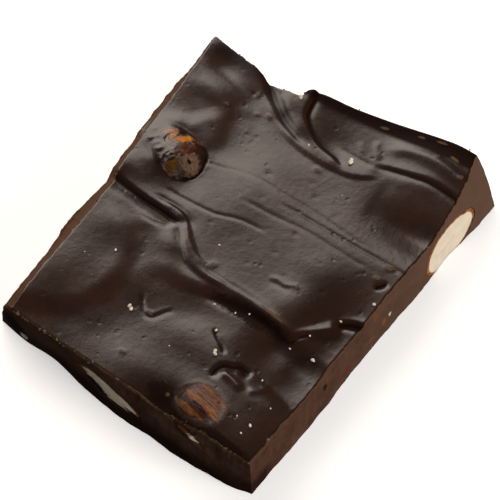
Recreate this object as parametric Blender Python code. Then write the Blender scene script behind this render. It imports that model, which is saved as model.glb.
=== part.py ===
"""Almond bark: one broken piece of dark chocolate with almonds set in it.

The piece lies the way it was poured, with the spread and folded side up.
The origin is on the flat underside, below the middle of the piece.
+X runs along the short front edge, +Y along the long left edge, +Z is up.
All sizes and places below are in millimetres, and MM turns them into metres.
"""

import math

import bmesh
import bpy
import numpy as np
from mathutils import Euler, Matrix, Vector, noise

MM = 0.001

# Driving dimensions of the slab
THICKNESS = 13.6            # poured chocolate, away from folds and edges
CELL = 1.65                 # spacing of the mesh on the poured surface
WALL_DEPTHS = (0.10, 0.32, 0.60, 0.85, 1.0)     # rings down the broken sides, rim = 0, foot = 1
WALL_BULGE = 0.75           # below 1 the sides flare more near the rim
LEFT_BULGE = 0.38           # the left side swells out soon below its rim
CRAG = 0.28                 # roughness of the broken sides
CRAG_SPACING = 4.5
WAVE = 0.12                 # slow unevenness of the poured surface
WAVE_SPACING = 11.0

# Driving dimensions of the almonds
ALMOND_POINT = 0.26         # how much narrower the pointed half is than the blunt half
ALMOND_SIDES = 18
ALMOND_RINGS = 11
GAP = 0.3                   # kept between an almond and the chocolate round it
HOOD_TOP = 30.0             # height that the sides are carried up to for trimming almonds

# The four edges of the poured surface, seen from above, each from one corner to the next
RIM = {
    "front": [(-40.7, -44.4), (-22, -46.0), (-4, -47.3), (14, -48.6), (30.6, -49.6)],
    "back": [(-42.6, 53.9), (-33, 52.2), (-26, 50.6), (-22.5, 48.3), (-13, 47.6),
             (-10.2, 51.0), (2, 51.9), (18, 53.2), (30, 54.3), (36.3, 54.0)],
    "left": [(-40.7, -44.4), (-40.3, -24), (-39.9, -6), (-41.3, 8), (-42.0, 24), (-42.2, 38),
             (-42.6, 53.9)],
    "right": [(30.6, -49.6), (32.6, -30), (34.7, -8), (36.6, 9), (38.3, 26), (38.4, 42),
              (36.3, 54.0)],
}

# The same four edges where the broken sides meet the underside
FOOT = {
    "front": [(-46.6, -42.6), (-38, -44.4), (-29, -45.0), (-20, -47.4), (-9, -49.7), (3.5, -50.9),
              (15, -52.0), (25, -52.1), (32.0, -51.0)],
    "back": [(-44.2, 52.4), (-24, 50.6), (-6, 52.4), (18, 54.6), (33, 54.8), (44.4, 53.3)],
    "left": [(-46.6, -42.6), (-45.4, -33), (-45.6, -25), (-47.4, -14), (-46.0, -2), (-46.2, 8),
             (-47.0, 24), (-46.8, 35), (-44.2, 40), (-44.2, 52.4)],
    "right": [(32.0, -51.0), (35.1, -27.5), (36.8, -6), (40.1, 20), (41.0, 32), (43.0, 42),
              (44.4, 53.3)],
}

# Almonds: middle, turns about X, Y and Z in degrees, and length, width and thickness
ALMONDS = {
    "almond_back_left": ((-33.2, 17.2, 12.3), (0, 8, 160), (20.5, 12.6, 8.4)),
    "almond_front": ((16.2, -43.5, 9.6), (4, 2, -12), (19.5, 13.4, 9.0)),
    "almond_front_cut": ((-9.4, -46.9, 6.5), (0, 11, -5), (20.5, 11.0, 4.6)),
    "almond_right_cut": ((40.4, 34.7, 5.0), (0, 0, 92), (24.2, 8.6, 11.8)),
    "almond_left_corner": ((-41.4, -39.6, 6.6), (0, 40, -63), (17.0, 10.0, 8.0)),
}

CHOCOLATE = ((0.026, 0.017, 0.014), 0.34)       # linear colour and roughness
ALMOND_SKIN = ((0.25, 0.09, 0.03), 0.55)
ALMOND_FLESH = ((0.72, 0.56, 0.38), 0.6)


def smooth_line(points, steps=10):
    """A Catmull-Rom curve through 2-D points."""
    knots = np.array(points, float)
    before = 2 * knots[0] - knots[1]
    after = 2 * knots[-1] - knots[-2]
    knots = np.vstack([before, knots, after])
    t = np.linspace(0, 1, steps, endpoint=False)[:, None]
    pieces = []
    for a, b, c, d in zip(knots, knots[1:], knots[2:], knots[3:]):
        pieces.append(b + 0.5 * t * (c - a + t * (2 * a - 5 * b + 4 * c - d
                                                 + t * (3 * b - a - 3 * c + d))))
    return np.vstack(pieces + [knots[-2:-1]])


def edge_point(points, share):
    """Points at the given shares of the length of a smooth edge."""
    line = smooth_line(points)
    lengths = np.hypot(*np.diff(line, axis=0).T)
    run = np.concatenate([[0], np.cumsum(lengths)]) / lengths.sum()
    return np.stack([np.interp(share, run, line[:, 0]), np.interp(share, run, line[:, 1])], -1)


def fill_between(edges, u, v):
    """A Coons patch: the four edges, and the space between them blended from all four."""
    front, back = edge_point(edges["front"], u), edge_point(edges["back"], u)
    left, right = edge_point(edges["left"], v), edge_point(edges["right"], v)
    u = u[:, None]
    v = v[:, None]
    corners = ((1 - u) * (1 - v) * np.array(edges["front"][0])
               + u * (1 - v) * np.array(edges["front"][-1])
               + (1 - u) * v * np.array(edges["back"][0])
               + u * v * np.array(edges["back"][-1]))
    return (1 - v) * front + v * back + (1 - u) * left + u * right - corners


def nearest_on(points, x, y):
    """For each (x, y): signed distance to a smooth line, left of it positive, and place along it."""
    line = smooth_line(points, steps=6)
    start, step = line[:-1], np.diff(line, axis=0)
    length = np.hypot(*step.T)
    run = np.concatenate([[0], np.cumsum(length)])
    rel_x = x[:, None] - start[:, 0]
    rel_y = y[:, None] - start[:, 1]
    share = np.clip((rel_x * step[:, 0] + rel_y * step[:, 1]) / length ** 2, 0, 1)
    away = np.hypot(rel_x - share * step[:, 0], rel_y - share * step[:, 1])
    pick = np.argmin(away, axis=1)
    row = np.arange(len(x))
    side = step[pick, 0] * rel_y[row, pick] - step[pick, 1] * rel_x[row, pick]
    place = run[pick] + share[row, pick] * length[pick]
    return np.copysign(away[row, pick], side), place, run[-1]


def ease(t):
    t = np.clip(t, 0, 1)
    return t * t * (3 - 2 * t)


def bump(t):
    return np.exp(-t * t)


def ends(place, total, head, tail):
    """1 along a feature, easing to 0 over head and tail; a length of 0 leaves that end whole."""
    strength = np.ones_like(place)
    if head:
        strength = strength * ease(place / head)
    if tail:
        strength = strength * ease((total - place) / tail)
    return strength


def between(pair, place, total):
    """A size that changes from the first value to the second along a feature."""
    return pair[0] + (pair[1] - pair[0]) * place / total


def fold(x, y, points, rise, rise_width, drop, drop_width, head=0.0, tail=0.0):
    """Chocolate folded over itself: a crest left of the line and a valley right of it."""
    away, place, total = nearest_on(points, x, y)
    valley = between(drop_width, place, total)
    height = rise * bump((away - 0.7 * rise_width) / rise_width)
    height = height - drop * bump((away + valley) / valley)
    return height * ends(place, total, head, tail)


def groove(x, y, points, depth, width, head=0.0, tail=0.0):
    """A furrow along a line, or with a negative depth a ridge."""
    away, place, total = nearest_on(points, x, y)
    return -depth * bump(away / width) * ends(place, total, head, tail)


def terrace(x, y, points, rise, width, reach, head=0.0, tail=0.0):
    """A step up to the left of a line, levelling out again over its reach."""
    away, place, total = nearest_on(points, x, y)
    return rise * ease(away / width) * np.exp(-np.maximum(away - width, 0) / reach) * ends(
        place, total, head, tail)


def mound(x, y, middle, radii, turn, height):
    """An oval rise, or with a negative height an oval hollow."""
    c, s = math.cos(math.radians(turn)), math.sin(math.radians(turn))
    dx, dy = x - middle[0], y - middle[1]
    return height * bump(np.hypot((dx * c + dy * s) / radii[0], (dy * c - dx * s) / radii[1]))


def left_folds(x, y):
    """The fold that opens at the left edge, its crest, and the lobe of chocolate below it."""
    height = fold(x, y, [(-43, 1.6), (-34, 0.9), (-26, 0.6), (-19.5, -0.8)],
                  rise=0.7, rise_width=2.2, drop=2.6, drop_width=(1.7, 0.9), tail=4)
    height += groove(x, y, [(-22, 1.2), (-18.2, -1.4), (-14, -6), (-10, -8.8)],
                     depth=-0.8, width=1.3, head=5, tail=5)
    height += terrace(x, y, [(-38, -43), (-30, -36), (-24, -28.5), (-22.3, -21), (-23.6, -13),
                             (-30, -6.5)], rise=1.2, width=4.0, reach=14, head=8, tail=8)
    return height


def middle_fold(x, y):
    """The long fold across the middle, which ends in a notch in the right edge."""
    height = fold(x, y, [(-17, -6.5), (-11, -9.6), (-5, -11.9), (2, -13.4), (10, -14.2),
                         (17, -14.5), (21, -14.2)],
                  rise=1.1, rise_width=3.2, drop=2.7, drop_width=(4.2, 1.2), head=8, tail=3)
    height += fold(x, y, [(20, -14.3), (23.5, -12.8), (26.8, -9.6), (30, -6.8)],
                   rise=0.7, rise_width=2.0, drop=1.1, drop_width=(1.7, 1.7), head=3, tail=3)
    height += groove(x, y, [(28.5, -6.9), (31.5, -5.6), (38, -3.6)], depth=2.0, width=1.2, head=2)
    height += mound(x, y, (27.5, -1), (5.5, 9), 0, -1.2)
    return height


def back_swirls(x, y):
    """Rings round the back left almond, and the sheets of chocolate that curl up to the back."""
    height = groove(x, y, [(-40.5, 36.5), (-34, 39), (-28, 37), (-23.6, 31.5), (-21.8, 25)],
                    depth=0.8, width=1.7, head=3, tail=4)
    height += groove(x, y, [(-39.6, 33.6), (-34.4, 35.2), (-29.4, 33), (-26, 27.5)],
                     depth=0.5, width=1.3, head=2, tail=3)
    height += mound(x, y, (-36, 29), (4.8, 4.4), 0, 1.7)
    height += terrace(x, y, [(-23.5, 49), (-20.2, 45.4), (-16, 41), (-12, 37.6), (-7, 35.3),
                             (-1, 33.9), (5, 33), (11, 33.4), (17.5, 36.2)],
                      rise=0.9, width=2.0, reach=16, tail=4)
    height += terrace(x, y, [(-11.4, 49), (-10.2, 44.5), (-7.4, 40.3), (-3.2, 37.6), (1.5, 36.2),
                             (7, 34.6)], rise=1.2, width=1.5, reach=9, tail=3)
    height += mound(x, y, (3, 44.5), (8, 4.5), 10, -1.0)
    height += terrace(x, y, [(18.5, 28), (24, 25.8), (30, 25.4), (39, 27.5)],
                      rise=1.5, width=10, reach=60, head=3)
    height += groove(x, y, [(8, 39.4), (17, 39.4), (24, 40.6), (31, 40.2), (39, 38.4)],
                     depth=0.8, width=1.1, head=5)
    height += groove(x, y, [(16, 42), (20, 43.4), (26, 43)], depth=-0.5, width=1.4, head=3, tail=3)
    height += terrace(x, y, [(15, 50.6), (22, 50), (30, 48.9), (39, 47.6)],
                      rise=1.3, width=3.0, reach=30, head=5)
    height += groove(x, y, [(-9, 52.6), (4, 53.2), (18, 54.4), (37, 55.5)],
                     depth=-1.8, width=3.4, head=2)
    height += groove(x, y, [(-43, 37), (-43.6, 46), (-43.4, 56)], depth=-1.1, width=3.4, head=5)
    return height


def front_dents(x, y):
    """The small folds and dents of the front half, and the low corner on its left."""
    height = fold(x, y, [(-15.6, -23.4), (-12.9, -26.9), (-10.7, -28.8), (-8.7, -26.2),
                         (-6.8, -22.6)],
                  rise=0.6, rise_width=1.2, drop=1.0, drop_width=(0.9, 0.9), head=2, tail=2)
    height += groove(x, y, [(4.6, -23.3), (9.4, -27.1), (11.6, -30.4)],
                     depth=0.7, width=0.9, head=2, tail=2)
    height += groove(x, y, [(10.2, -35), (10.6, -31.6), (13, -29.8), (16.2, -28.5), (19.4, -28.4)],
                     depth=1.3, width=1.2, head=2, tail=2)
    height += groove(x, y, [(11.8, -32.2), (15.6, -32.6), (20.2, -33.9)],
                     depth=-0.8, width=1.4, head=2, tail=2)
    height += mound(x, y, (17, -40), (10, 5.5), -8, 0.7)
    height += mound(x, y, (3.4, -46.6), (8.0, 4.6), -8, -3.0)
    height += mound(x, y, (24, -50), (7.0, 2.2), -4, -0.7)
    height += mound(x, y, (-42.5, -45.5), (6.0, 4.5), 0, -2.2)
    return height


def fine_lines(x, y):
    """The deeper lines that the spatula left between the two folds and the back swirls."""
    height = groove(x, y, [(-29, 6.9), (-24, 5.9), (-14, 5.9), (-6, 7.8), (6, 7.8)],
                    depth=0.6, width=0.9, head=2, tail=6)
    height += groove(x, y, [(-6, 18), (8, 16.6), (20, 15.3), (37, 14)],
                     depth=0.4, width=0.9, head=4, tail=2)
    return height


def surface_height(x, y):
    """Height of the poured surface above the underside."""
    height = THICKNESS + left_folds(x, y) + middle_fold(x, y) + back_swirls(x, y)
    height += front_dents(x, y) + fine_lines(x, y)
    height += mound(x, y, (-37, 19.5), (5.5, 6.5), -20, 2.6)
    wave = [noise.noise(Vector((a, b, 0)) / WAVE_SPACING) for a, b in zip(x, y)]
    return height + WAVE * np.array(wave)


def slab_points(u, v, depth):
    """Points of the slab's skin: depth 0 is the poured surface, up to 1 at the foot of a side."""
    rim = fill_between(RIM, u, v)
    foot = fill_between(FOOT, u, v)
    top = surface_height(rim[:, 0], rim[:, 1])
    share = depth ** np.where(u == 0, LEFT_BULGE, WALL_BULGE)
    plan = rim + share[:, None] * (foot - rim)
    height = top * (1 - depth)
    outward = foot - rim
    outward = outward / np.maximum(np.hypot(*outward.T), 1)[:, None]
    rough = np.array([noise.noise(Vector((a, b, 2 * h)) / CRAG_SPACING)
                      for a, b, h in zip(plan[:, 0], plan[:, 1], height)])
    rough[depth == 0] = 0
    plan = plan + CRAG * rough[:, None] * outward
    return np.column_stack([plan, height])


def make_slab(name, hood=False):
    """The slab as one closed body. With a hood its sides are carried up, as a trimming shape."""
    bm = bmesh.new()
    place = bm.verts.layers.float_vector.new("place")
    width = RIM["front"][-1][0] - RIM["front"][0][0]
    length = RIM["left"][-1][1] - RIM["left"][0][1]
    bmesh.ops.create_grid(bm, x_segments=round(width / CELL), y_segments=round(length / CELL),
                          size=0.5)
    for vert in bm.verts:
        vert[place] = (vert.co.x + 0.5, vert.co.y + 0.5, 0)
    rings = (0.0,) + WALL_DEPTHS if hood else WALL_DEPTHS
    top = list(bm.verts)
    ring = [edge for edge in bm.edges if edge.is_boundary]
    for depth in rings:
        made = bmesh.ops.extrude_edge_only(bm, edges=ring)["geom"]
        ring = [item for item in made if isinstance(item, bmesh.types.BMEdge) and item.is_boundary]
        for vert in (item for item in made if isinstance(item, bmesh.types.BMVert)):
            vert[place].z = depth
    bmesh.ops.contextual_create(bm, geom=ring)
    u, v, depth = np.array([vert[place] for vert in bm.verts], float).T
    for vert, point in zip(bm.verts, slab_points(u, v, depth)):
        vert.co = Vector(point) * MM
    if hood:
        for vert in top:
            vert.co.z = HOOD_TOP * MM
    bmesh.ops.triangulate(bm, faces=[face for face in bm.faces if len(face.verts) == 4])
    bmesh.ops.recalc_face_normals(bm, faces=bm.faces)
    return finish_object(name, bm)


def almond_shape(bm, sizes):
    """A ball drawn out to an almond: long along X, blunt at -X and pointed at +X."""
    length, width, thickness = sizes
    bmesh.ops.create_uvsphere(bm, u_segments=ALMOND_SIDES, v_segments=ALMOND_RINGS, radius=1)
    bmesh.ops.rotate(bm, verts=bm.verts, matrix=Matrix.Rotation(math.radians(90), 3, "Y"))
    for vert in bm.verts:
        narrow = 1 - ALMOND_POINT * vert.co.x
        vert.co.x *= length / 2
        vert.co.y *= narrow * width / 2
        vert.co.z *= narrow * thickness / 2
        vert.co *= MM


def make_almond(name, grow=0.0):
    """One almond in its place, or grown by a gap on every side as the cutter of its pocket."""
    middle, turns, sizes = ALMONDS[name]
    bm = bmesh.new()
    almond_shape(bm, [size + 2 * grow for size in sizes])
    obj = finish_object(f"pocket_of_{name}" if grow else name, bm)
    obj.location = Vector(middle) * MM
    obj.rotation_euler = Euler([math.radians(turn) for turn in turns])
    return obj


def finish_object(name, bm):
    mesh = bpy.data.meshes.new(name)
    bm.to_mesh(mesh)
    bm.free()
    return bpy.data.objects.new(name, mesh)


def plain_material(name, look):
    colour, roughness = look
    material = bpy.data.materials.new(name)
    material.use_nodes = True
    shader = material.node_tree.nodes["Principled BSDF"]
    shader.inputs["Base Color"].default_value = (*colour, 1)
    shader.inputs["Roughness"].default_value = roughness
    return material


def add_boolean(obj, operation, other):
    modifier = obj.modifiers.new(f"{operation.lower()} {other.name}", "BOOLEAN")
    modifier.operation = operation
    modifier.object = other


def new_collection(name):
    collection = bpy.data.collections.new(name)
    bpy.context.scene.collection.children.link(collection)
    return collection


def add_cutter(cutters, obj):
    obj.hide_render = True
    obj.display_type = "WIRE"
    cutters.objects.link(obj)
    return obj


def build():
    for obj in list(bpy.data.objects):
        bpy.data.objects.remove(obj)
    parts = new_collection("almond_bark")
    cutters = new_collection("cutters")
    chocolate = plain_material("dark_chocolate", CHOCOLATE)
    skin = plain_material("almond_skin", ALMOND_SKIN)
    flesh = plain_material("almond_flesh", ALMOND_FLESH)

    slab = make_slab("chocolate_slab")
    slab.data.materials.append(chocolate)
    parts.objects.link(slab)
    hood = add_cutter(cutters, make_slab("sides_carried_up", hood=True))

    for name in ALMONDS:
        almond = make_almond(name)
        almond.data.materials.append(flesh if name.endswith("cut") else skin)
        almond.data.shade_smooth()
        add_boolean(almond, "INTERSECT", hood)
        parts.objects.link(almond)
        add_boolean(slab, "DIFFERENCE", add_cutter(cutters, make_almond(name, grow=GAP)))


build()
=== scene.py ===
# %% [markdown]
# # Almond bark
# This lesson dresses one broken piece of dark chocolate bark. The real piece was poured on a flat
# tray, spread and folded with a spatula while it set, and then broken by hand through its almonds.
# The look comes from three things: the relief of the poured side, which a soft window light from
# behind draws as grey sheen and dark folds, the dull broken sides, and the warm spots of almond.

import math

import bmesh
import bpy
import numpy as np
from mathutils import Euler, Matrix, Vector, noise


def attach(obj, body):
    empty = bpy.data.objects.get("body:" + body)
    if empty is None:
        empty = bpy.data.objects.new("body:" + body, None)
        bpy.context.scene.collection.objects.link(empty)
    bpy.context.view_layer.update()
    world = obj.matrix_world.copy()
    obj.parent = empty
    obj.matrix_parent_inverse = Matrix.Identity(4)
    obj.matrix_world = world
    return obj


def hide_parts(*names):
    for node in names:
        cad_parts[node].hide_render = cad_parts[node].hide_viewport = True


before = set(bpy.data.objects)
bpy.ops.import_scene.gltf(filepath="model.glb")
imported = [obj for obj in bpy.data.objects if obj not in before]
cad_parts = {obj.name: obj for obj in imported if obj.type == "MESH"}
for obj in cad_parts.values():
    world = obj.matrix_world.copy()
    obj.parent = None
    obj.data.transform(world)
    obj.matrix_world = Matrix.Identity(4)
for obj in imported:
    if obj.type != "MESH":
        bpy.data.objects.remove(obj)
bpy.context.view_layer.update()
MM = 0.001
print("solids:", ", ".join(sorted(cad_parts)))

# %% [markdown]
# ## Lines and soft steps
# All places below are in millimetres on the poured side, seen from above: x along the short front
# edge, y along the long left edge. A fold or a furrow is a smooth line through a few points, and
# its height depends only on the distance to that line, so two helpers do most of the work: a curve
# through points, and the signed distance of many points to such a curve.

# %% Curves
def smooth_line(points, steps=10):
    """A Catmull-Rom curve through 2-D points."""
    knots = np.array(points, float)
    before = 2 * knots[0] - knots[1]
    after = 2 * knots[-1] - knots[-2]
    knots = np.vstack([before, knots, after])
    t = np.linspace(0, 1, steps, endpoint=False)[:, None]
    pieces = []
    for a, b, c, d in zip(knots, knots[1:], knots[2:], knots[3:]):
        pieces.append(b + 0.5 * t * (c - a + t * (2 * a - 5 * b + 4 * c - d
                                                 + t * (3 * b - a - 3 * c + d))))
    return np.vstack(pieces + [knots[-2:-1]])


def nearest_on(points, x, y):
    """For each (x, y): signed distance to a smooth line, left of it positive, and place along it."""
    line = smooth_line(points, steps=12)
    start, step = line[:-1], np.diff(line, axis=0)
    length = np.hypot(*step.T)
    run = np.concatenate([[0], np.cumsum(length)])
    rel_x = x[:, None] - start[:, 0]
    rel_y = y[:, None] - start[:, 1]
    share = np.clip((rel_x * step[:, 0] + rel_y * step[:, 1]) / length ** 2, 0, 1)
    away = np.hypot(rel_x - share * step[:, 0], rel_y - share * step[:, 1])
    pick = np.argmin(away, axis=1)
    row = np.arange(len(x))
    side = step[pick, 0] * rel_y[row, pick] - step[pick, 1] * rel_x[row, pick]
    place = run[pick] + share[row, pick] * length[pick]
    return np.copysign(away[row, pick], side), place, run[-1]


def ease(t):
    """0 below 0, 1 above 1, and smooth between."""
    t = np.clip(t, 0, 1)
    return t * t * (3 - 2 * t)


def bump(t):
    """A smooth hill, 1 high at 0 and about gone at 2."""
    return np.exp(-t * t)


def ends(place, total, head, tail):
    """1 along a feature, easing to 0 over head and tail; a length of 0 leaves that end whole."""
    strength = np.ones_like(place)
    if head:
        strength = strength * ease(place / head)
    if tail:
        strength = strength * ease((total - place) / tail)
    return strength


def between(size, place, total):
    """A size along a feature: one number, or a pair for its start and its end."""
    first, last = np.broadcast_to(size, 2)
    return first + (last - first) * place / total


print("a quarter turn in", len(smooth_line([(1, 0), (0.7, 0.7), (0, 1)])), "points")

# %% [markdown]
# ## Relief as a sum of named features
# Folded chocolate is a height over the plan: folds, furrows, steps and mounds added together. A
# sculpted mesh would do as well, but a sum of functions keeps every fold a line that can be moved.
# All of it is worked out once, on a fine square grid over the plan, and read from there afterwards.

# %% A grid over the plan
GRID_STEP = 0.25
GRID_X = np.arange(-50, 50, GRID_STEP)
GRID_Y = np.arange(-58, 62, GRID_STEP)
PLAN_X, PLAN_Y = [values.ravel() for values in np.meshgrid(GRID_X, GRID_Y)]


def settle(height, spread):
    """Lets a height over the plan run together a little, as warm chocolate does before it sets."""
    height = height.reshape(len(GRID_Y), len(GRID_X))
    half = int(3 * spread / GRID_STEP) + 1
    weights = bump(np.arange(-half, half + 1) * GRID_STEP / spread)
    weights = weights / weights.sum()
    for axis in (0, 1):
        pads = [(half, half) if other == axis else (0, 0) for other in (0, 1)]
        padded = np.pad(height, pads, mode="edge")
        count = height.shape[axis]
        height = sum(weight * np.take(padded, range(start, start + count), axis=axis)
                     for start, weight in enumerate(weights))
    return height.ravel()


print("grid of", len(GRID_X), "by", len(GRID_Y), "places")

# %% The kinds of feature
def local(feature):
    """Works a feature out only within its reach, and gives 0 everywhere else on the grid."""
    def reached(points, *args, reach=14.0, **sizes):
        line = np.array(points, float).reshape(-1, 2)
        low, high = line.min(axis=0) - reach, line.max(axis=0) + reach
        near = (PLAN_X > low[0]) & (PLAN_X < high[0]) & (PLAN_Y > low[1]) & (PLAN_Y < high[1])
        height = np.zeros_like(PLAN_X)
        height[near] = feature(PLAN_X[near], PLAN_Y[near], points, *args, **sizes)
        return height
    return reached


@local
def fold(x, y, points, rise, lip, drop, steep, floor, soft=0.0, head=0.0, tail=0.0):
    """Chocolate folded over itself: a lip left of the line, a steep face right of it and a floor.

    Each size is one number, or a pair for the start and the end of the line. A soft face eases
    in and out.
    """
    away, place, total = nearest_on(points, x, y)
    rise, lip, drop, steep, floor = [between(size, place, total)
                                     for size in (rise, lip, drop, steep, floor)]
    top = rise * bump(away / lip)
    fall = np.clip(-away / steep, 0, 1)
    face = rise - (rise + drop) * (fall + soft * (ease(fall) - fall))
    bottom = -drop * bump((away + steep) / floor)
    height = np.where(away > 0, top, np.where(away > -steep, face, bottom))
    return height * ends(place, total, head, tail)


@local
def groove(x, y, points, depth, width, head=0.0, tail=0.0):
    """A furrow along a line, or with a negative depth a ridge."""
    away, place, total = nearest_on(points, x, y)
    return -between(depth, place, total) * bump(away / between(width, place, total)) * ends(
        place, total, head, tail)


@local
def slide(x, y, points, drop, width, fade, head=0.0, tail=0.0):
    """A soft step down from the left of a line to its right, that fades out on both sides."""
    away, place, total = nearest_on(points, x, y)
    step = ease(away / width / 2 + 0.5) - 0.5
    return drop * step * bump(np.maximum(np.abs(away) - width, 0) / fade) * ends(
        place, total, head, tail)


@local
def mound(x, y, middle, radii, turn, height):
    """An oval rise, or with a negative height an oval hollow."""
    c, s = math.cos(math.radians(turn)), math.sin(math.radians(turn))
    dx, dy = x - middle[0], y - middle[1]
    return height * bump(np.hypot((dx * c + dy * s) / radii[0], (dy * c - dx * s) / radii[1]))


def add_up(name, heights):
    """Adds heights over the plan, and prints how far they fall and rise."""
    height = sum(heights)
    print(f"{name}: {height.min():.2f} to {height.max():.2f} mm")
    return height


# %% [markdown]
# ### The lie of the surface
# Broad rises and hollows come first, as they decide where the whole surface looks grey or brown:
# it mirrors the window where it leans back and to the left, and the dark room where it leans to
# the front or the right. A lean of a few degrees is enough.

# %% Broad forms
FORM_REACH = 2.6            # a form is worked out as far out as this many of its radii
BROAD_FORMS = [             # middle, radii, turn and height of each
    # right of the back left almond, and the back
    ((-18.5, 25), (6, 10), 0, -0.4),
    ((-45, 56), (8, 9), 0, 0.9), ((-35.5, 47.5), (5.5, 5), -30, -0.8),
    ((-6, 37), (16, 10), -10, -0.5), ((6, 42), (18, 20), 0, -0.5),
    ((-32, 55), (11, 8), 0, 0.9), ((-32.5, 37), (7, 8), 0, 1),
    ((-7, 53), (9, 8), 0, 0.9), ((-15.5, 47.5), (3.5, 6), 0, 0.6),
    ((-45, 44), (9, 11), 0, 1.2), ((30, 48.5), (12, 10), 0, 1.1),
    ((-26, 43), (9, 9), 0, -0.7),
    # the left edge, above the fold and on the tongue
    ((-41, 6), (8, 4.5), 0, 1.4),
    ((-37, -2), (9, 4), 0, 1), ((-46, -7), (5, 6), 0, 0.5),
    ((-33.5, -10), (8, 5.5), -10, 0.55), ((-42, -27), (12, 15), 0, 1.1),
    ((-24, -35), (5, 4), 0, 0.3), ((-24, 12), (4.5, 7), 0, -0.35),
    # the middle
    ((-5, 21), (11, 12), 20, 0.2), ((10, 11), (14, 8), -10, 0.3),
    ((17, 4), (8, 5), 0, 0.3), ((-15, -11), (8, 5), 0, 0.3),
    ((-26, -5.5), (5, 3), 0, 0.6), ((-3, -12.5), (10, 5.5), 0, 0.2),
    ((18, -7.5), (7, 7), 0, 0.7),
    # low ground at the right
    ((33, -8), (9, 12), 10, -1.7), ((29, -25), (8, 8), 0, -1.1),
    ((37, -40), (9, 13), 0, -1.3), ((36, 24.5), (10, 5.5), 0, -0.9),
    # in front of the long fold
    ((-4, -23), (6, 4), 20, -0.25), ((-19, -22), (8, 8), 0, 0.6),
    ((-16, -6), (7, 5), 0, 0.3), ((26, -19), (5, 4), 0, -0.6),
    ((27, -33), (5, 3.5), 0, 0.35), ((6, -34.5), (8, 4), -15, -0.4),
    ((-7, -42.5), (16, 6), -5, 0.35),
    # along the front edge
    ((-24, -47), (10, 3.5), -5, -0.2), ((6.5, -48.5), (8, 4.5), -5, -1.8),
    ((22.5, -43), (5, 5), -5, 0.1), ((14, -48.2), (8, 2.4), -5, 0.7),
    # the bowl at the back and the slope right of it
    ((1, 39.5), (9, 4.5), 10, -0.5), ((25.5, 37.5), (5, 4.5), 0, 0.1),
    ((34, 27.5), (12, 4.5), 0, -0.8),
]
broad_forms = add_up("broad forms", [mound(*form, reach=FORM_REACH * max(form[1]))
                                     for form in BROAD_FORMS])

# %% [markdown]
# ### The folds at the left edge
# A fold opens at the left edge as a dark wedge and closes to the right under a rolled crest with a
# hairline behind it. Below it lies a tongue of chocolate with a soft curved edge.

# %% Left folds
left_folds = add_up("left folds", [
    fold([(-46, 4), (-40.8, 2.9), (-36, 1.7), (-30, 0.8), (-25, 0.3), (-20, -0.9), (-18, -2)],
         rise=(0.1, 0.5), lip=(3, 3.4), drop=(1.1, 0.5), steep=(1.7, 0.6), floor=(2.6, 2.2), tail=3),
    groove([(-34, 0), (-30, -0.4), (-25, -0.8), (-20.4, -1.7)], depth=(0.2, 0.5), width=(0.4, 0.35),
           head=3, tail=2),
    groove([(-27, 1.4), (-22, 1.2), (-18.6, 0.2), (-16, -2.6), (-13.4, -5.6), (-9.4, -8.6),
           (-4, -10)], depth=(-0.25, -0.3), width=(0.6, 1.3), head=4, tail=6),
    groove([(-30, 2.6), (-24, 2.5), (-20, 1.9), (-17.2, 0.3), (-14.6, -2.1)], depth=0.25,
           width=(0.5, 0.6), head=4, tail=4),
    groove([(-29.6, -4.6), (-25.4, -5), (-22, -4.4), (-19.8, -3.1)], depth=(0.12, 0.2), width=0.45,
           head=3, tail=2),
])
tongue = add_up("tongue", [
    slide([(-46, -43), (-36, -40.4), (-29, -36.6), (-24.8, -31), (-23.2, -24.6), (-23.6, -18),
          (-26, -12.6), (-30, -8.4), (-38, -5), (-46, -3.8)], drop=0.9, width=3, fade=15, tail=7,
          reach=40),
    mound((-24.4, -11.4), (1, 2), -15, 0.12),
    mound((-18.5, -8), (5, 3), 0, 0.35),
])

# %% [markdown]
# ### The long fold across the middle
# The largest fold crosses the piece from the left folds to a notch in the right edge. Its crest is
# a thin lit line over a nearly black face.

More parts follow.
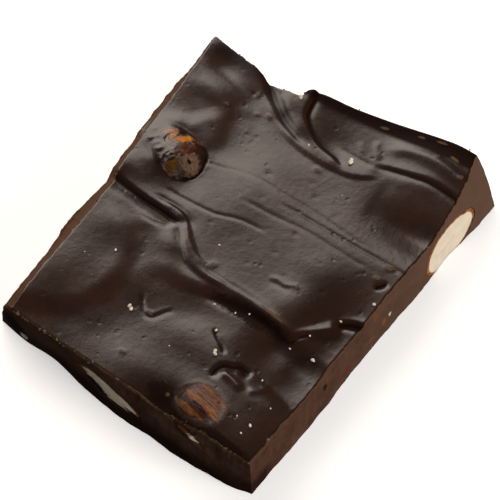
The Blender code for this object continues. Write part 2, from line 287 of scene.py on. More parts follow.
# %% Middle fold
middle_fold = add_up("middle fold", [
    fold([(-20, -12.8), (-15, -13.7), (-10, -13.9), (-5, -13.3), (0, -12.2), (5, -11.9),
         (10, -12.4), (15, -13.7), (19, -14.8), (26, -15.6)], rise=(0.1, 0.35), lip=(3, 1.2),
         drop=(0.2, 1.4), steep=(6, 1.4), floor=(12, 9), soft=1, head=6, tail=7, reach=28),
    fold([(-19, -1), (-16.5, -3.8), (-14, -7), (-11, -9.8), (-7, -11.3), (-2, -11.8), (3, -11.8)],
         rise=(0.3, 0.15), lip=1.5, drop=0.3, steep=(0.9, 1.2), floor=(1.5, 2.5), head=3, tail=5),
    fold([(5, -32), (7, -25), (9.5, -18), (11, -12)], rise=0, lip=1, drop=1.3, steep=17, floor=20,
         soft=1, head=10, tail=5, reach=60),
    groove([(-9, -9.4), (-2, -10.4), (5, -10.9), (11, -11.7), (16, -13)], depth=0.12, width=0.5,
           head=5, tail=3),
    groove([(21.4, -15), (24.8, -12.5), (28.2, -9.5), (30.8, -6.9)], depth=(-0.15, -0.9),
           width=(0.7, 1.9), head=3, tail=2.5),
    fold([(28.6, -6.8), (30.6, -5), (33, -3.8), (39, -2.8)], rise=(0.1, 0.3), lip=(1, 1.5),
         drop=(0.8, 1.6), steep=0.9, floor=(0.9, 1.3), head=3),
    groove([(-4, -16.4), (2, -16.1), (8, -15.8), (14, -15.5), (20, -15.6)], depth=(0.25, 0.5),
           width=(1.2, 0.8), head=5, tail=3),
    groove([(32.4, 7.2), (33.8, 7.8), (34.9, 9.6)], depth=(0.9, 0.7), width=(0.5, 0.45), head=0.7,
           tail=0.7),
    groove([(22.2, -17), (23.8, -14.8), (25.6, -12.6)], depth=(0.5, 0.4), width=(0.5, 0.4),
           head=1.5, tail=1),
    groove([(8.4, -3.9), (11, -3.4), (13.4, -3.9), (15.8, -2.9), (17, -3.9)], depth=-0.14,
           width=0.5, head=2, tail=1),
    groove([(9, -5), (12, -4.9), (16, -5.3)], depth=0.12, width=0.6, head=2, tail=2),
])

# %% [markdown]
# ### Swirls and curled sheets at the back
# Rings run round the back left almond. Sheets of chocolate curl up towards the back edge, one over
# the other, and leave steps, a dark crescent and a shallow bowl between them. The left and back
# edges rise a little, and the front edge sinks.

# %% Back swirls
rings = add_up("rings", [
    slide([(-42, 34.4), (-36, 36.6), (-31, 36.8), (-26, 34.6)], drop=0.6, width=2.8, fade=20,
          head=7, tail=6, reach=45),
    slide([(-24.6, 20), (-24.2, 26), (-25.4, 31), (-28, 35)], drop=0.45, width=2.6, fade=20, head=4,
          tail=4, reach=45),
    groove([(-38, 43.4), (-33, 43), (-28, 41.2), (-23.6, 38.4), (-20.4, 34.6), (-18.4, 30)],
           depth=-0.12, width=1, head=4, tail=5),
    groove([(-35, 36.2), (-31, 36.6), (-27.4, 35.2), (-25.4, 32.6)], depth=(-0.1, -0.15), width=0.8,
           head=2, tail=2),
])
back_sheets = add_up("back sheets", [
    fold([(-15, 39.8), (-8, 36.4), (-2.4, 34.8), (4, 34), (11, 34.2), (18, 37)], rise=(0.4, 0.3),
         lip=(6, 4), drop=0, steep=(1.5, 0.8), floor=1, head=7, tail=4, reach=18),
    groove([(-25, 53), (-21.8, 49), (-17.2, 44.6), (-12.4, 40.8), (-7, 38), (-1, 36.2)],
           depth=(1.3, 0.3), width=(2, 1.2), tail=7),
    slide([(-14, 36), (44, 36)], drop=1.3, width=13, fade=20, head=24, reach=50),
    fold([(8, 34.6), (4, 36.4), (0, 37.6), (-3.6, 39.2), (-7.2, 42), (-9.6, 45.8), (-10.4, 56)],
         rise=(0.3, 1), lip=(2, 5), drop=0.3, steep=(0.8, 1.3), floor=(1, 1.5), head=4, reach=18),
    groove([(14, 44.6), (18, 46.8), (24, 47.7), (30, 47.2), (42, 43.4)], depth=(-0.45, -0.55),
           width=(1.8, 2), head=6, reach=18),
    groove([(11.6, 47), (13, 44), (15.6, 41.4)], depth=-0.2, width=0.8, head=2, tail=2),
    groove([(8, 45), (9, 42.8), (11.4, 41)], depth=-0.12, width=0.8, head=2, tail=2),
    fold([(14, 40.2), (19, 40.9), (25, 41.6), (31, 42), (40, 40.6)], rise=(0.15, 0.3),
         lip=(1.6, 1.8), drop=(0.2, 0.4), steep=(0.8, 0.9), floor=(1, 1.2), head=4),
    groove([(4, 40.6), (9, 39.6), (15, 39)], depth=(0.12, 0.2), width=0.6, head=3, tail=2),
    slide([(20.4, 21), (19.6, 38)], drop=0.15, width=1.8, fade=6, head=7, tail=3),
])
edge_rise = add_up("rise of the edges", [
    groove([(-43.4, -8), (-44, 10), (-44.6, 30), (-45, 46)], depth=(-0.35, -0.4), width=3.5, head=5,
           tail=4),
    groove([(-12, 54), (4, 54.2), (18, 55.2), (42, 56.5)], depth=(-1.2, -1.4), width=(2.8, 2.4),
           head=2, reach=14),
    groove([(0, -50.5), (14, -51.5), (30, -52.5)], depth=1, width=3.4, head=4, reach=14),
])

# %% [markdown]
# ### Dents and small folds of the front half
# A small v-shaped fold, two short crevices and glossy ridges round the front almond, and a hollow
# that runs off the front edge.

# %% Front dents
front_dents = add_up("front dents", [
    fold([(-15.4, -23.4), (-13.6, -25.6), (-11.9, -27.6), (-10.4, -27.6), (-8.6, -25),
         (-6.8, -22.8)], rise=(0.06, 0.05), lip=0.8, drop=(0.3, 0.12), steep=0.6, floor=0.8, head=2,
         tail=2),
    groove([(4.6, -23.2), (6.8, -25), (8.4, -26), (10.6, -28)], depth=0.4, width=(0.35, 0.5),
           head=1, tail=1),
    fold([(10.2, -35.4), (10.3, -32.4), (11.4, -30.2), (13.6, -29.2), (15.4, -28), (19.4, -28.4)],
         rise=0, lip=1, drop=(0.7, 0.9), steep=(0.8, 1.3), floor=(1.1, 1.4), head=2, tail=1.5),
    groove([(11.8, -32.4), (15.6, -33.2), (19.6, -34.6)], depth=-0.5, width=0.9, head=2, tail=2),
    groove([(20.6, -34), (23, -32), (23.6, -29.8)], depth=-0.25, width=0.8, head=1, tail=1),
])

# %% [markdown]
# ### Round the back left almond
# The spatula dragged chocolate over the left half of the back left almond, and left a deep narrow
# crack along its blunt end.

# %% Smear and crack
SMEAR_LUMPS = [             # middle, radii, turn and height of each
    ((-39, 15.9), (0.9, 0.7), 20, 0.30), ((-37.6, 17), (0.7, 0.7), 50, 0.20),
    ((-36.4, 15.4), (0.7, 0.6), 0, 0.22), ((-34.8, 13.9), (0.9, 0.6), 30, 0.30),
    ((-32.6, 11.4), (0.8, 0.5), 0, 0.22), ((-30.8, 9.6), (0.9, 0.5), -10, 0.25),
    ((-39.6, 19), (0.6, 0.5), 60, 0.15), ((-33.6, 16.4), (1.1, 0.8), 40, 0.25),
    ((-30.4, 12.5), (0.8, 0.5), 30, -0.55),
]
almond_collar = add_up("chocolate heaped round the almond", [
    mound((-39.5, 18), (4, 5), 20, 1),
    mound((-36.6, 24), (4.6, 2.8), 20, 0.6),
    mound((-34.5, 11.2), (5.5, 3), -10, 0.8),
])
almond_marks = add_up("smear and crack", [
    groove([(-24.6, 20), (-23.6, 18), (-23.3, 15), (-24, 12.4), (-25.2, 11)], depth=(1, 1.3),
           width=(0.4, 0.5), head=2, tail=2),
    *[mound(*spot, reach=4) for spot in SMEAR_LUMPS],
])

# %% [markdown]
# ### Chocolate over the almonds
# Two almonds lie under the poured side. The spatula left a thin film of chocolate over them and
# wiped it off again in a few bare patches. Stains colour the film and the skin of these two and
# the broken ends of others, and are listed here with their places; the nearly black ones among
# them are painted shade, in pits, cracks and hollows. The height of a nut over the
# plan is that of a tilted, pointed ball.

# %% Almonds and their bare patches
ALMONDS = {
    "almond_back_left": ((-33.2, 17.2, 12.3), (0, 8, 160), (20.5, 12.6, 8.4)),
    "almond_front": ((15, -43.4, 9.5), (2, 2, -12), (19.5, 13.4, 8.8)),
    "almond_front_cut": ((-9.4, -46.9, 6.5), (0, 11, -5), (20.5, 11, 4.6)),
    "almond_right_cut": ((40.4, 34.7, 5), (0, 0, 92), (24.2, 8.6, 11.8)),
    "almond_left_corner": ((-41.4, -39.6, 6.6), (0, 40, -63), (17, 10, 8)),
}
ALMOND_POINT = 0.26         # how much narrower the pointed half is than the blunt half
BARE = {                    # middle in the plan, radii and turn of each bare patch
    "almond_back_left": [
        ((-31, 19.8), (4.2, 2.4), 40), ((-26.8, 16.8), (2.8, 3.2), 0),
        ((-29.6, 12), (2.3, 2.2), 0)],
    "almond_front": [((12.9, -42.2), (6.2, 4.8), -12)],
}
STAINS_AND_SHADE = {                  # the same with the colour, for each stain or patch of painted shade on a nut
    "almond_back_left": [
        ((-29.2, 10.9), (3, 1.5), -10, (0.095, 0.070, 0.058)),
        ((-27.4, 12.6), (2.8, 1.6), 20, (0.075, 0.050, 0.040)),
        ((-25.6, 14.2), (2.3, 2.6), 0, (0.135, 0.080, 0.055)),
        ((-35.6, 20.5), (2, 0.8), 51, (0.36, 0.20, 0.15)),
        ((-34.1, 19.6), (2.2, 1), 92, (0.34, 0.17, 0.080)),
        ((-28.8, 16.6), (3, 2), 50, (0.060, 0.014, 0.004)),
        ((-28.4, 21.4), (1.9, 1.1), 20, (0.070, 0.018, 0.006)),
        ((-30.8, 19.6), (2.6, 1.3), 50, (0.40, 0.14, 0.006)),
        ((-29.4, 11.5), (1.6, 1.9), 0, (0.10, 0.042, 0.006)),
        # Painted shade: nearly black in a pit and beside the crack at the blunt end.
        ((-30.4, 12.5), (1.2, 0.6), 50, (0.004, 0.001, 0.001)),
        ((-25.8, 14), (0.6, 0.5), 0, (0.010, 0.004, 0.002)),
    ],
    "almond_front": [
        ((12.4, -43.8), (6.6, 4.2), -12, (0.034, 0.015, 0.009)),
        ((13.6, -41), (5.2, 3.2), -15, (0.13, 0.066, 0.047)),
        ((14.4, -39.2), (4.4, 0.6), -20, (0.17, 0.075, 0.034)),
        ((10.6, -41.9), (2.6, 0.7), -14, (0.21, 0.088, 0.032)),
        ((16, -43.2), (2.8, 0.8), -25, (0.22, 0.096, 0.036)),
        ((10.4, -45.2), (3, 0.8), -15, (0.15, 0.056, 0.016)),
        ((14, -45.8), (2, 0.5), -20, (0.12, 0.040, 0.010)),
        ((13.4, -43.9), (2.6, 0.6), -20, (0.030, 0.008, 0.004)),
        # Painted light: the flesh at the front side is paler than the other flesh, to stand in for
        # light on a side that lies in shade.
        ((16, -50, 9.5), (2.6, 3, 1.2), 15, (1, 0.88, 0.62)),
        ((11.6, -49.8, 10.6), (1.7, 3, 1.2), 15, (0.22, 0.06, 0.02)),
    ],
    "almond_front_cut": [
        # Painted shade: nearly black under the flesh of the cut, and in a narrow slit.
        ((-15.2, -48, 5), (7.2, 9, 2.3), 14, (0.012, 0.005, 0.003)),
        ((-1.6, -49, 3.9), (3.2, 9, 0.65), 22, (0.014, 0.006, 0.003)),
        ((-18.5, -47, 7.6), (1.6, 9, 0.9), 0, (0.14, 0.060, 0.025)),
    ],
    "almond_left_corner": [
        # Painted shade: the cut face is nearly black, as the shaded corner round it.
        ((-42, -41, 6), (9, 9, 9), 0, (0.016, 0.007, 0.004)),
        ((-43.6, -41.5, 9), (3, 3, 1), 0, (0.13, 0.060, 0.028)),
        ((-38.2, -44.6, 2), (1.6, 2, 1.2), 0, (0.70, 0.60, 0.45)),
        ((-42.4, -38, 12), (3, 3, 1.2), 0, (0.34, 0.27, 0.19)),
    ],
}
ALMOND_LUMPS = {"almond_back_left": 0.40, "almond_front": 0.15}     # how uneven their tops are
LUMP_SPACING = 2.3
FINE_LUMPS = (2.3, 0.4)     # how much closer and lower the finer lumps are
BESIDE_NUT = 8              # how steeply a nut's height falls off outside its outline
print("almonds:", len(ALMONDS), "and stains:", sum(len(spots) for spots in STAINS_AND_SHADE.values()))

# %% Height of the nuts
def lump(x, y):
    """Unevenness of the nuts and the film on them, from about -1 to 1."""
    place = Vector((x, y, 5)) / LUMP_SPACING
    closer, lower = FINE_LUMPS
    return noise.noise(place) + lower * noise.noise(closer * place)


def almond_top(name, x, y):
    """Height of an almond's upper side over the plan, which falls off steeply beside it."""
    (mid_x, mid_y, mid_z), (_, tilt, turn), (length, width, thickness) = ALMONDS[name]
    c, s = math.cos(math.radians(turn)), math.sin(math.radians(turn))
    along = ((x - mid_x) * c + (y - mid_y) * s) / (length / 2)
    narrow = 1 - ALMOND_POINT * np.clip(along, -1, 1)
    across = ((y - mid_y) * c - (x - mid_x) * s) / (width / 2 * narrow)
    rest = 1 - along ** 2 - across ** 2
    lean = -math.sin(math.radians(tilt)) * along * length / 2
    height = mid_z + lean + narrow * thickness / 2 * np.sqrt(np.maximum(rest, 0))
    return height + np.minimum(BESIDE_NUT * rest, 0)


for name in BARE:
    print(name, "reaches", almond_top(name, PLAN_X, PLAN_Y).max().round(1), "mm up")

# %% The film
FILM = 0.09                 # chocolate left on a nut
FILM_SETTLE = 0.8           # how far the film bridges the lumps of a nut
FILLET = {                  # how softly chocolate meets a nut on its left and on its right
    "almond_back_left": (1.3, 0.45),
    "almond_front": (0.5, 0.8),
}
FILLET_CHANGE = (6, 8)      # how far right of a nut's middle the change begins, and its length
BARE_DROP = 0.08            # how far the chocolate ends below a nut's surface in a bare patch
BARE_EDGE = (1.7, -0.2)     # how sharply a bare patch ends, and how much of its rim is lost
NEAR_SURFACE = (1.6, 0.7)   # the same for where a nut comes near the surface


def drape(height):
    """Lays the film of chocolate over the two almonds, and takes it off in the bare patches."""
    lumps = np.array([lump(a, b) for a, b in zip(PLAN_X, PLAN_Y)])
    for name, (left, right) in FILLET.items():
        top = almond_top(name, PLAN_X, PLAN_Y) + ALMOND_LUMPS[name] * lumps
        patches = [mound(*bare_patch, 1, reach=9) for bare_patch in BARE[name]]
        bare = ease(BARE_EDGE[0] * np.max(patches, axis=0) + BARE_EDGE[1])
        bare = bare * ease((top - height) / NEAR_SURFACE[0] + NEAR_SURFACE[1])
        begins, length = FILLET_CHANGE
        leftness = ease((ALMONDS[name][0][0] + begins - PLAN_X) / length)
        fillet = right + (left - right) * leftness
        bridged = settle(top, FILM_SETTLE) + FILM
        filmed = fillet * np.logaddexp(height / fillet, bridged / fillet)
        filmed = np.maximum(filmed, top + FILM)
        wiped = np.minimum(height, top - BARE_DROP)
        height = filmed * (1 - bare) + wiped * bare
    return height


# %% [markdown]
# ### Spatula lines, pits and chips
# The spatula left long shallow lines between the two large folds and the back swirls. Air under
# the spatula left a few soft pits. Chips and rubbed crests stand up a little, and are paler.

# %% Fine lines
SPATULA_LINES = [           # points, depth at both ends, width at both ends, length of the ends
    ([(-28, 5.9), (-24, 5.4), (-14, 5.3), (-10, 6.2), (-6, 7.2), (2, 7.4)], (0.22, 0.12),
     (0.4, 0.4), (2, 4)),
    ([(-26, 17.5), (-20, 18.6), (-11, 20.6), (0, 19.8), (8, 19.3), (22, 17), (27, 16.6)],
     (0.06, 0.08), (0.45, 0.4), (3, 6)),
    ([(-1, 16.8), (6, 16.6), (14, 16), (24, 15.2), (39, 14)], (0.12, 0.16), (0.4, 0.4), (4, 1)),
    ([(-10, 12.9), (0, 12.6), (10, 12.8), (20, 11.8), (31, 10.8)], (0.1, 0.08), (0.6, 0.5),
     (4, 6)),
]
spatula_lines = add_up("spatula lines", [
    groove(points, depth, width, head=head, tail=tail, reach=3)
    for points, depth, width, (head, tail) in SPATULA_LINES
])

# %% Pits and chips
PITS = [                    # middle, radius and depth of each
    ((8, 10.5), 0.9, 0.07), ((6.5, 23.5), 0.9, 0.07), ((-7.5, 23.3), 1.1, 0.08),
    ((11.9, -1.8), 0.7, 0.06), ((1.9, -3), 0.6, 0.06), ((6.2, 3.2), 0.7, 0.06),
    ((-5, 16), 0.6, 0.05), ((3.5, 27), 0.7, 0.05), ((14, 21), 0.7, 0.05),
    ((-12.4, 2.6), 0.6, 0.06), ((17.5, 6), 0.7, 0.05), ((-24, 43.8), 0.6, 0.18),
]
PIT_OVAL = 0.8              # how wide a pit is for its length
pits = add_up("pits", [mound(middle, (radius, PIT_OVAL * radius), 0, -depth, reach=3)
                       for middle, radius, depth in PITS])

CHIPS = [                   # middle, radii and turn of each paler chip or worn crest
    ((33, 13.7), (1.3, 0.8), 10), ((32, 9.6), (0.9, 0.5), 20), ((15, -12.9), (4.5, 0.5), -14),
    ((-11.2, -27.6), (1.2, 0.5), -5), ((-5, -7.9), (0.9, 0.7), 0), ((4.7, -44.3), (0.6, 0.6), 0),
    ((-11, -40.3), (0.8, 0.5), 0), ((2.5, 31.2), (0.9, 0.5), 0), ((11.5, 51), (1.6, 0.4), 10),
    ((21.5, 52.6), (1.2, 0.4), 5), ((27, 53.4), (1.8, 0.4), 5), ((32.2, 50.5), (1.6, 0.5), -15),
    ((28, 49.3), (0.8, 0.4), 0), ((36.3, 46), (0.7, 1), 0), ((-23.2, 44), (0.7, 0.6), 0),
    ((-17, 39.5), (0.8, 0.5), -40), ((-20, 38.5), (0.6, 0.5), 0), ((-28, 36.6), (0.6, 0.4), 0),
]
chips = np.max([mound(*chip, 1, reach=8) for chip in CHIPS], axis=0)
print("chips cover", round(100 * float((chips > 0.5).mean()), 2), "% of the grid")

# %% [markdown]
# ## The whole poured surface
# A slow wave lies under everything, as no poured surface is flat. The broad forms settle into each
# other, and the sharp folds hardly do.

# %% Height of the poured surface
THICKNESS = 13.6            # poured chocolate, away from folds and edges
CUP = 0.75                  # how much higher the two long edges lie than the middle
CUP_WIDTH = 40              # from the middle to a long edge
CUP_SHIFT = 0.4             # share of the cup that the middle sinks by
WAVE = 0.10                 # slow unevenness of the poured surface
WAVE_SPACING = 11
CHIP_RISE = 0.15
BROAD_SETTLE, CRISP_SETTLE, LAST_SETTLE = 1.2, 0.28, 0.22

broad = broad_forms + tongue + rings + edge_rise
crisp = left_folds + middle_fold + back_sheets + front_dents + almond_collar
crisp += spatula_lines + pits + CHIP_RISE * chips
wave = np.array([noise.noise(Vector((a, b, 0)) / WAVE_SPACING) for a, b in zip(PLAN_X, PLAN_Y)])
height = THICKNESS + settle(broad, BROAD_SETTLE) + settle(crisp, CRISP_SETTLE) + WAVE * wave
height += CUP * (np.clip(PLAN_X / CUP_WIDTH, -1, 1) ** 2 - CUP_SHIFT)
HEIGHTS = settle(drape(height) + almond_marks, LAST_SETTLE).reshape(len(GRID_Y), len(GRID_X))


def read_grid(values, x, y):
    """Reads values on the plan's grid at any places, blending the four nearest."""
    across = np.clip((x - GRID_X[0]) / GRID_STEP, 0, len(GRID_X) - 1.001)
    along = np.clip((y - GRID_Y[0]) / GRID_STEP, 0, len(GRID_Y) - 1.001)
    i, j = across.astype(int), along.astype(int)
    across, along = across - i, along - j
    return ((values[j, i] * (1 - across) + values[j, i + 1] * across) * (1 - along)
            + (values[j + 1, i] * (1 - across) + values[j + 1, i + 1] * across) * along)


def surface_height(x, y):
    """Height of the poured surface above the underside."""
    return read_grid(HEIGHTS, x, y)


print("height in the middle:", surface_height(np.zeros(1), np.zeros(1)).round(2), "mm")

# %% [markdown]
# ## The outline
# Four edges bound the poured side, and four more the foot of the broken sides, which flare out
# below the rim. A Coons patch fills each ring of four edges, so one square grid covers the piece.

# %% Rim, foot and the space between four edges
RIM = {
    "front": [(-40.7, -44.4), (-22, -46), (-4, -47.3), (14, -48.6), (30.6, -49.6)],
    "back": [(-42.4, 53.8), (-33, 52.3), (-26, 50.9), (-22, 49.4), (-13, 49),
             (-10.6, 52), (2, 52.6), (18, 54), (30, 54.9), (36.5, 54.6)],
    "left": [(-40.7, -44.4), (-40.3, -24), (-39.8, -6), (-41.1, 8), (-41.7, 24), (-41.9, 38),
             (-42.4, 53.8)],
    "right": [(30.6, -49.6), (32.6, -30), (34.7, -8), (36.6, 9), (38.3, 26), (38.4, 42),
              (36.5, 54.5)],
}
FOOT = {
    "front": [(-46.6, -42.6), (-38, -44.4), (-29, -45), (-20, -47.4), (-9, -49.7), (3.5, -50.9),
              (15, -52), (25, -52.1), (32, -51)],
    "back": [(-44.2, 52.4), (-24, 50.6), (-6, 52.4), (18, 54.6), (33, 54.8), (44.4, 53.3)],
    "left": [(-46.6, -42.6), (-45.4, -33), (-45.4, -25), (-47.4, -14), (-45.6, -2), (-45.8, 8),
             (-46.6, 24), (-46.4, 35), (-44.2, 40), (-44.2, 52.4)],
    "right": [(32, -51), (35.1, -27.5), (36.8, -6), (40.1, 20), (41, 32), (43, 42),
              (44.4, 53.3)],
}


def edge_point(points, share):
    """Points at the given shares of the length of a smooth edge."""
    line = smooth_line(points)
    lengths = np.hypot(*np.diff(line, axis=0).T)
    run = np.concatenate([[0], np.cumsum(lengths)]) / lengths.sum()
    return np.stack([np.interp(share, run, line[:, 0]), np.interp(share, run, line[:, 1])], -1)


def fill_between(edges, u, v):
    """A Coons patch: the four edges, and the space between them blended from all four."""
    front, back = edge_point(edges["front"], u), edge_point(edges["back"], u)
    left, right = edge_point(edges["left"], v), edge_point(edges["right"], v)
    u = u[:, None]
    v = v[:, None]
    corners = ((1 - u) * (1 - v) * np.array(edges["front"][0])
               + u * (1 - v) * np.array(edges["front"][-1])
               + (1 - u) * v * np.array(edges["back"][0])
               + u * v * np.array(edges["back"][-1]))
    return (1 - v) * front + v * back + (1 - u) * left + u * right - corners


print("rim:", *edge_point(RIM["front"], np.array([0, 1])).round(1).tolist(), "at the front")

# %% [markdown]
# ## The broken sides
# Dark chocolate snaps with a dull, nearly flat face that has faint ripples and a few crags. The
# sides are rings of points between rim and foot, pushed out and in by noise. Finer noise nicks
# the rim itself.

# %% Points of the skin
CELL = 0.36                 # spacing of the mesh on the poured surface
RIM_CELLS = (0.10, 0.16, 0.24)      # narrow cells next to the rim, for its round edge
RIM_ROUND = 0.30            # how far in from the rim its worn edge reaches
RIM_DROP = 0.8              # how far that edge drops, as a share of the same
WALL_RINGS = 27
WALL_CROWD = 1.6            # above 1 the rings lie closer together near the rim
WALL_BULGE = 0.75           # below 1 the sides flare more near the rim
LEFT_BULGE = 0.38           # the left side swells out soon below its rim
CRAG = 0.28                 # roughness of the broken sides
CRAG_SPACING = 4.5
FINE_CRAGS = (3, 0.35)      # how much closer and lower the finer crags are
RIM_NICKS = 0.28            # how unevenly the rim itself broke
RIM_NICK_SPACING = 2.4
FINE_NICKS = (2.7, 0.8)     # the same for the finer nicks
NICK_REACH = 1.5            # how far in from the rim the nicks reach


def noise_field(plan, height, spacing):
    """Smooth noise at many points, one value each."""
    return np.array([noise.noise(Vector((a, b, c)) / spacing)
                     for a, b, c in zip(plan[:, 0], plan[:, 1], height)])


def slab_points(u, v, depth, inside):
    """Points of the slab's skin: depth 0 is the poured surface, up to 1 at the foot of a side."""
    tilt = 1 - np.clip(inside / RIM_ROUND, 0, 1)
    rim_drop = RIM_ROUND * (1 - np.sqrt(1 - tilt ** 2)) * RIM_DROP
    rim = fill_between(RIM, u, v)
    foot = fill_between(FOOT, u, v)
    top = surface_height(rim[:, 0], rim[:, 1]) - rim_drop
    share = depth ** np.where(u == 0, LEFT_BULGE, WALL_BULGE)
    plan = rim + share[:, None] * (foot - rim)
    height = top * (1 - depth)
    outward = foot - rim
    outward = outward / np.maximum(np.hypot(*outward.T), 1)[:, None]
    rough = noise_field(plan, 2 * height, CRAG_SPACING)
    rough = rough + FINE_CRAGS[1] * noise_field(plan, height, CRAG_SPACING / FINE_CRAGS[0])
    rough = CRAG * rough * np.where(depth == 0, 0, 1)
    nick = noise_field(rim, 0 * depth, RIM_NICK_SPACING)
    finer = noise_field(rim, 0 * depth, RIM_NICK_SPACING / FINE_NICKS[0])
    nick = RIM_NICKS * (nick + FINE_NICKS[1] * finer)
    rough = rough + nick * (1 - ease(inside / NICK_REACH)) * (1 - depth) ** 2
    plan = plan + rough[:, None] * outward
    return np.column_stack([plan, height])


# %% [markdown]
# One grid makes the poured side, its border is drawn down ring by ring for the broken sides, and
# one flat face closes the underside. The same function with a hood makes the shape that trims an
# almond flush with a broken side.

# %% The slab as a mesh
HOOD_TOP = 30.0             # height that the sides are carried up to for trimming almonds


def shares(length):
    """Cells along a length, narrow next to both ends, as shares of it, and how far each is in."""
    cells = np.concatenate([RIM_CELLS, np.full(round(length / CELL), CELL), RIM_CELLS[::-1]])
    run = np.concatenate([[0], np.cumsum(cells)])
    inside = np.minimum(run, run[-1] - run)
    return run / run[-1], inside


def finish_object(name, bm):
    mesh = bpy.data.meshes.new(name)
    bm.to_mesh(mesh)
    bm.free()
    obj = bpy.data.objects.new(name, mesh)
    bpy.context.scene.collection.objects.link(obj)
    return obj


def make_slab(name, hood=False):
    bm = bmesh.new()
    along, along_inside = shares(RIM["front"][-1][0] - RIM["front"][0][0])
    across, across_inside = shares(RIM["left"][-1][1] - RIM["left"][0][1])
    columns, rows = len(along) - 1, len(across) - 1
    place = bm.verts.layers.float_vector.new("place")
    bmesh.ops.create_grid(bm, x_segments=columns, y_segments=rows, size=0.5)
    for vert in bm.verts:
        vert[place] = (round((vert.co.x + 0.5) * columns), round((vert.co.y + 0.5) * rows), 0)
    wall = (np.arange(1, WALL_RINGS + 1) / WALL_RINGS) ** WALL_CROWD
    top = list(bm.verts)
    ring = [edge for edge in bm.edges if edge.is_boundary]
    for depth in ([0.0] if hood else []) + list(wall):
        made = bmesh.ops.extrude_edge_only(bm, edges=ring)["geom"]
        ring = [item for item in made if isinstance(item, bmesh.types.BMEdge) and item.is_boundary]
        for vert in (item for item in made if isinstance(item, bmesh.types.BMVert)):
            vert[place].z = depth
    bmesh.ops.contextual_create(bm, geom=ring)
    column, row, depth = np.array([vert[place] for vert in bm.verts], float).T
    column, row = column.round().astype(int), row.round().astype(int)
    inside = np.minimum(along_inside[column], across_inside[row])
    for vert, point in zip(bm.verts, slab_points(along[column], across[row], depth, inside)):
        vert.co = Vector(point) * MM
    if hood:
        for vert in top:
            vert.co.z = HOOD_TOP * MM
    bmesh.ops.triangulate(bm, faces=[face for face in bm.faces if len(face.verts) == 4])
    bmesh.ops.recalc_face_normals(bm, faces=bm.faces)
    return finish_object(name, bm)


slab = make_slab("chocolate_piece")
hood = make_slab("sides_carried_up", hood=True)
print("slab:", len(slab.data.polygons), "faces")

# %% [markdown]
# ## Almonds
# Five almonds show: two through the poured side and three where a side broke through them. Each is
# a ball drawn out to an almond, with the lengthwise wrinkles of its skin.

# %% One almond
ALMOND_SIDES = 144
POCKET_SIDES = 72           # a pocket is smooth, so it needs fewer
WRINKLE = 0.16              # depth of the wrinkles in an almond's skin
WRINKLES_ROUND = 9


def almond_place(shape):
    middle, turns, sizes = shape
    turn = Euler([math.radians(angle) for angle in turns]).to_matrix().to_4x4()
    return Matrix.Translation(Vector(middle) * MM) @ turn, Vector(sizes) * MM


def make_almond(label, shape, lumps=0.0, wrinkle=WRINKLE, sides=ALMOND_SIDES):
    """One almond: its middle, its turns in degrees and its sizes make its shape."""
    place, (length, width, thickness) = almond_place(shape)
    bm = bmesh.new()
    bmesh.ops.create_uvsphere(bm, u_segments=sides, v_segments=sides * 2 // 3, radius=1)
    bmesh.ops.rotate(bm, verts=bm.verts, matrix=Matrix.Rotation(math.radians(90), 3, "Y"))
    for vert in bm.verts:
        round_it = math.atan2(vert.co.y, vert.co.z)
        furrow = noise.noise(Vector((2 * vert.co.x, math.cos(round_it) * WRINKLES_ROUND / 3,
                                     math.sin(round_it) * WRINKLES_ROUND / 3)))
        narrow = 1 - ALMOND_POINT * vert.co.x
        push = 1 + wrinkle * furrow * MM / width * 2
        vert.co.x *= length / 2
        vert.co.y *= narrow * push * width / 2
        vert.co.z *= narrow * push * thickness / 2
    bmesh.ops.transform(bm, matrix=place, verts=bm.verts)
    if lumps:
        for vert in bm.verts:
            vert.co.z += lumps * lump(vert.co.x / MM, vert.co.y / MM) * MM
    return finish_object(label, bm)


# %% [markdown]
# ## Pockets and cuts
# A Boolean trims each almond with the carried-up sides, so its cut face lies flush with the broken
# side, and another hollows a pocket in the chocolate for the three almonds that the break opened.
# Of the two almonds under the poured side, one just stands in the chocolate, and the other also
# shows at the front side through a narrow opening.

# %% Booleans, each applied at once
def applied_boolean(obj, operation, other):
    modifier = obj.modifiers.new(operation.lower(), "BOOLEAN")
    modifier.operation = operation
    modifier.solver = "MANIFOLD"
    modifier.object = other
    graph = bpy.context.evaluated_depsgraph_get()
    mesh = bpy.data.meshes.new_from_object(obj.evaluated_get(graph))
    obj.modifiers.clear()
    old, obj.data = obj.data, mesh
    mesh.name = obj.name
    bpy.data.meshes.remove(old)


def remove_object(obj):
    mesh = obj.data
    bpy.data.objects.remove(obj)
    bpy.data.meshes.remove(mesh)


def wider(name, grow, shift):
    """The shape of an almond, grown on all sides and shifted."""
    middle, turns, sizes = ALMONDS[name]
    return np.add(middle, shift), turns, np.add(sizes, 2 * grow)


POCKETS = {                 # the last is the narrow opening
    "almond_front_cut": wider("almond_front_cut", 0.1, (0, 0, -0.1)),
    "almond_right_cut": wider("almond_right_cut", 0.15, (0, 0.2, 0)),
    "almond_left_corner": wider("almond_left_corner", 0.1, (0, 0, 0)),
    "almond_front": ((14.4, -49.9, 9.8), (0, 15, -5), (8.8, 3.6, 1.5)),
}
nuts = {}
for name, shape in ALMONDS.items():
    nuts[name] = make_almond(f"{name}_nut", shape, ALMOND_LUMPS.get(name, 0))
    applied_boolean(nuts[name], "INTERSECT", hood)
    if name in POCKETS:
        pocket = make_almond("pocket", POCKETS[name], wrinkle=0, sides=POCKET_SIDES)
        applied_boolean(slab, "DIFFERENCE", pocket)
        remove_object(pocket)
    print(name, len(nuts[name].data.polygons), "faces")
remove_object(hood)
print("slab after cutting:", len(slab.data.polygons), "faces")

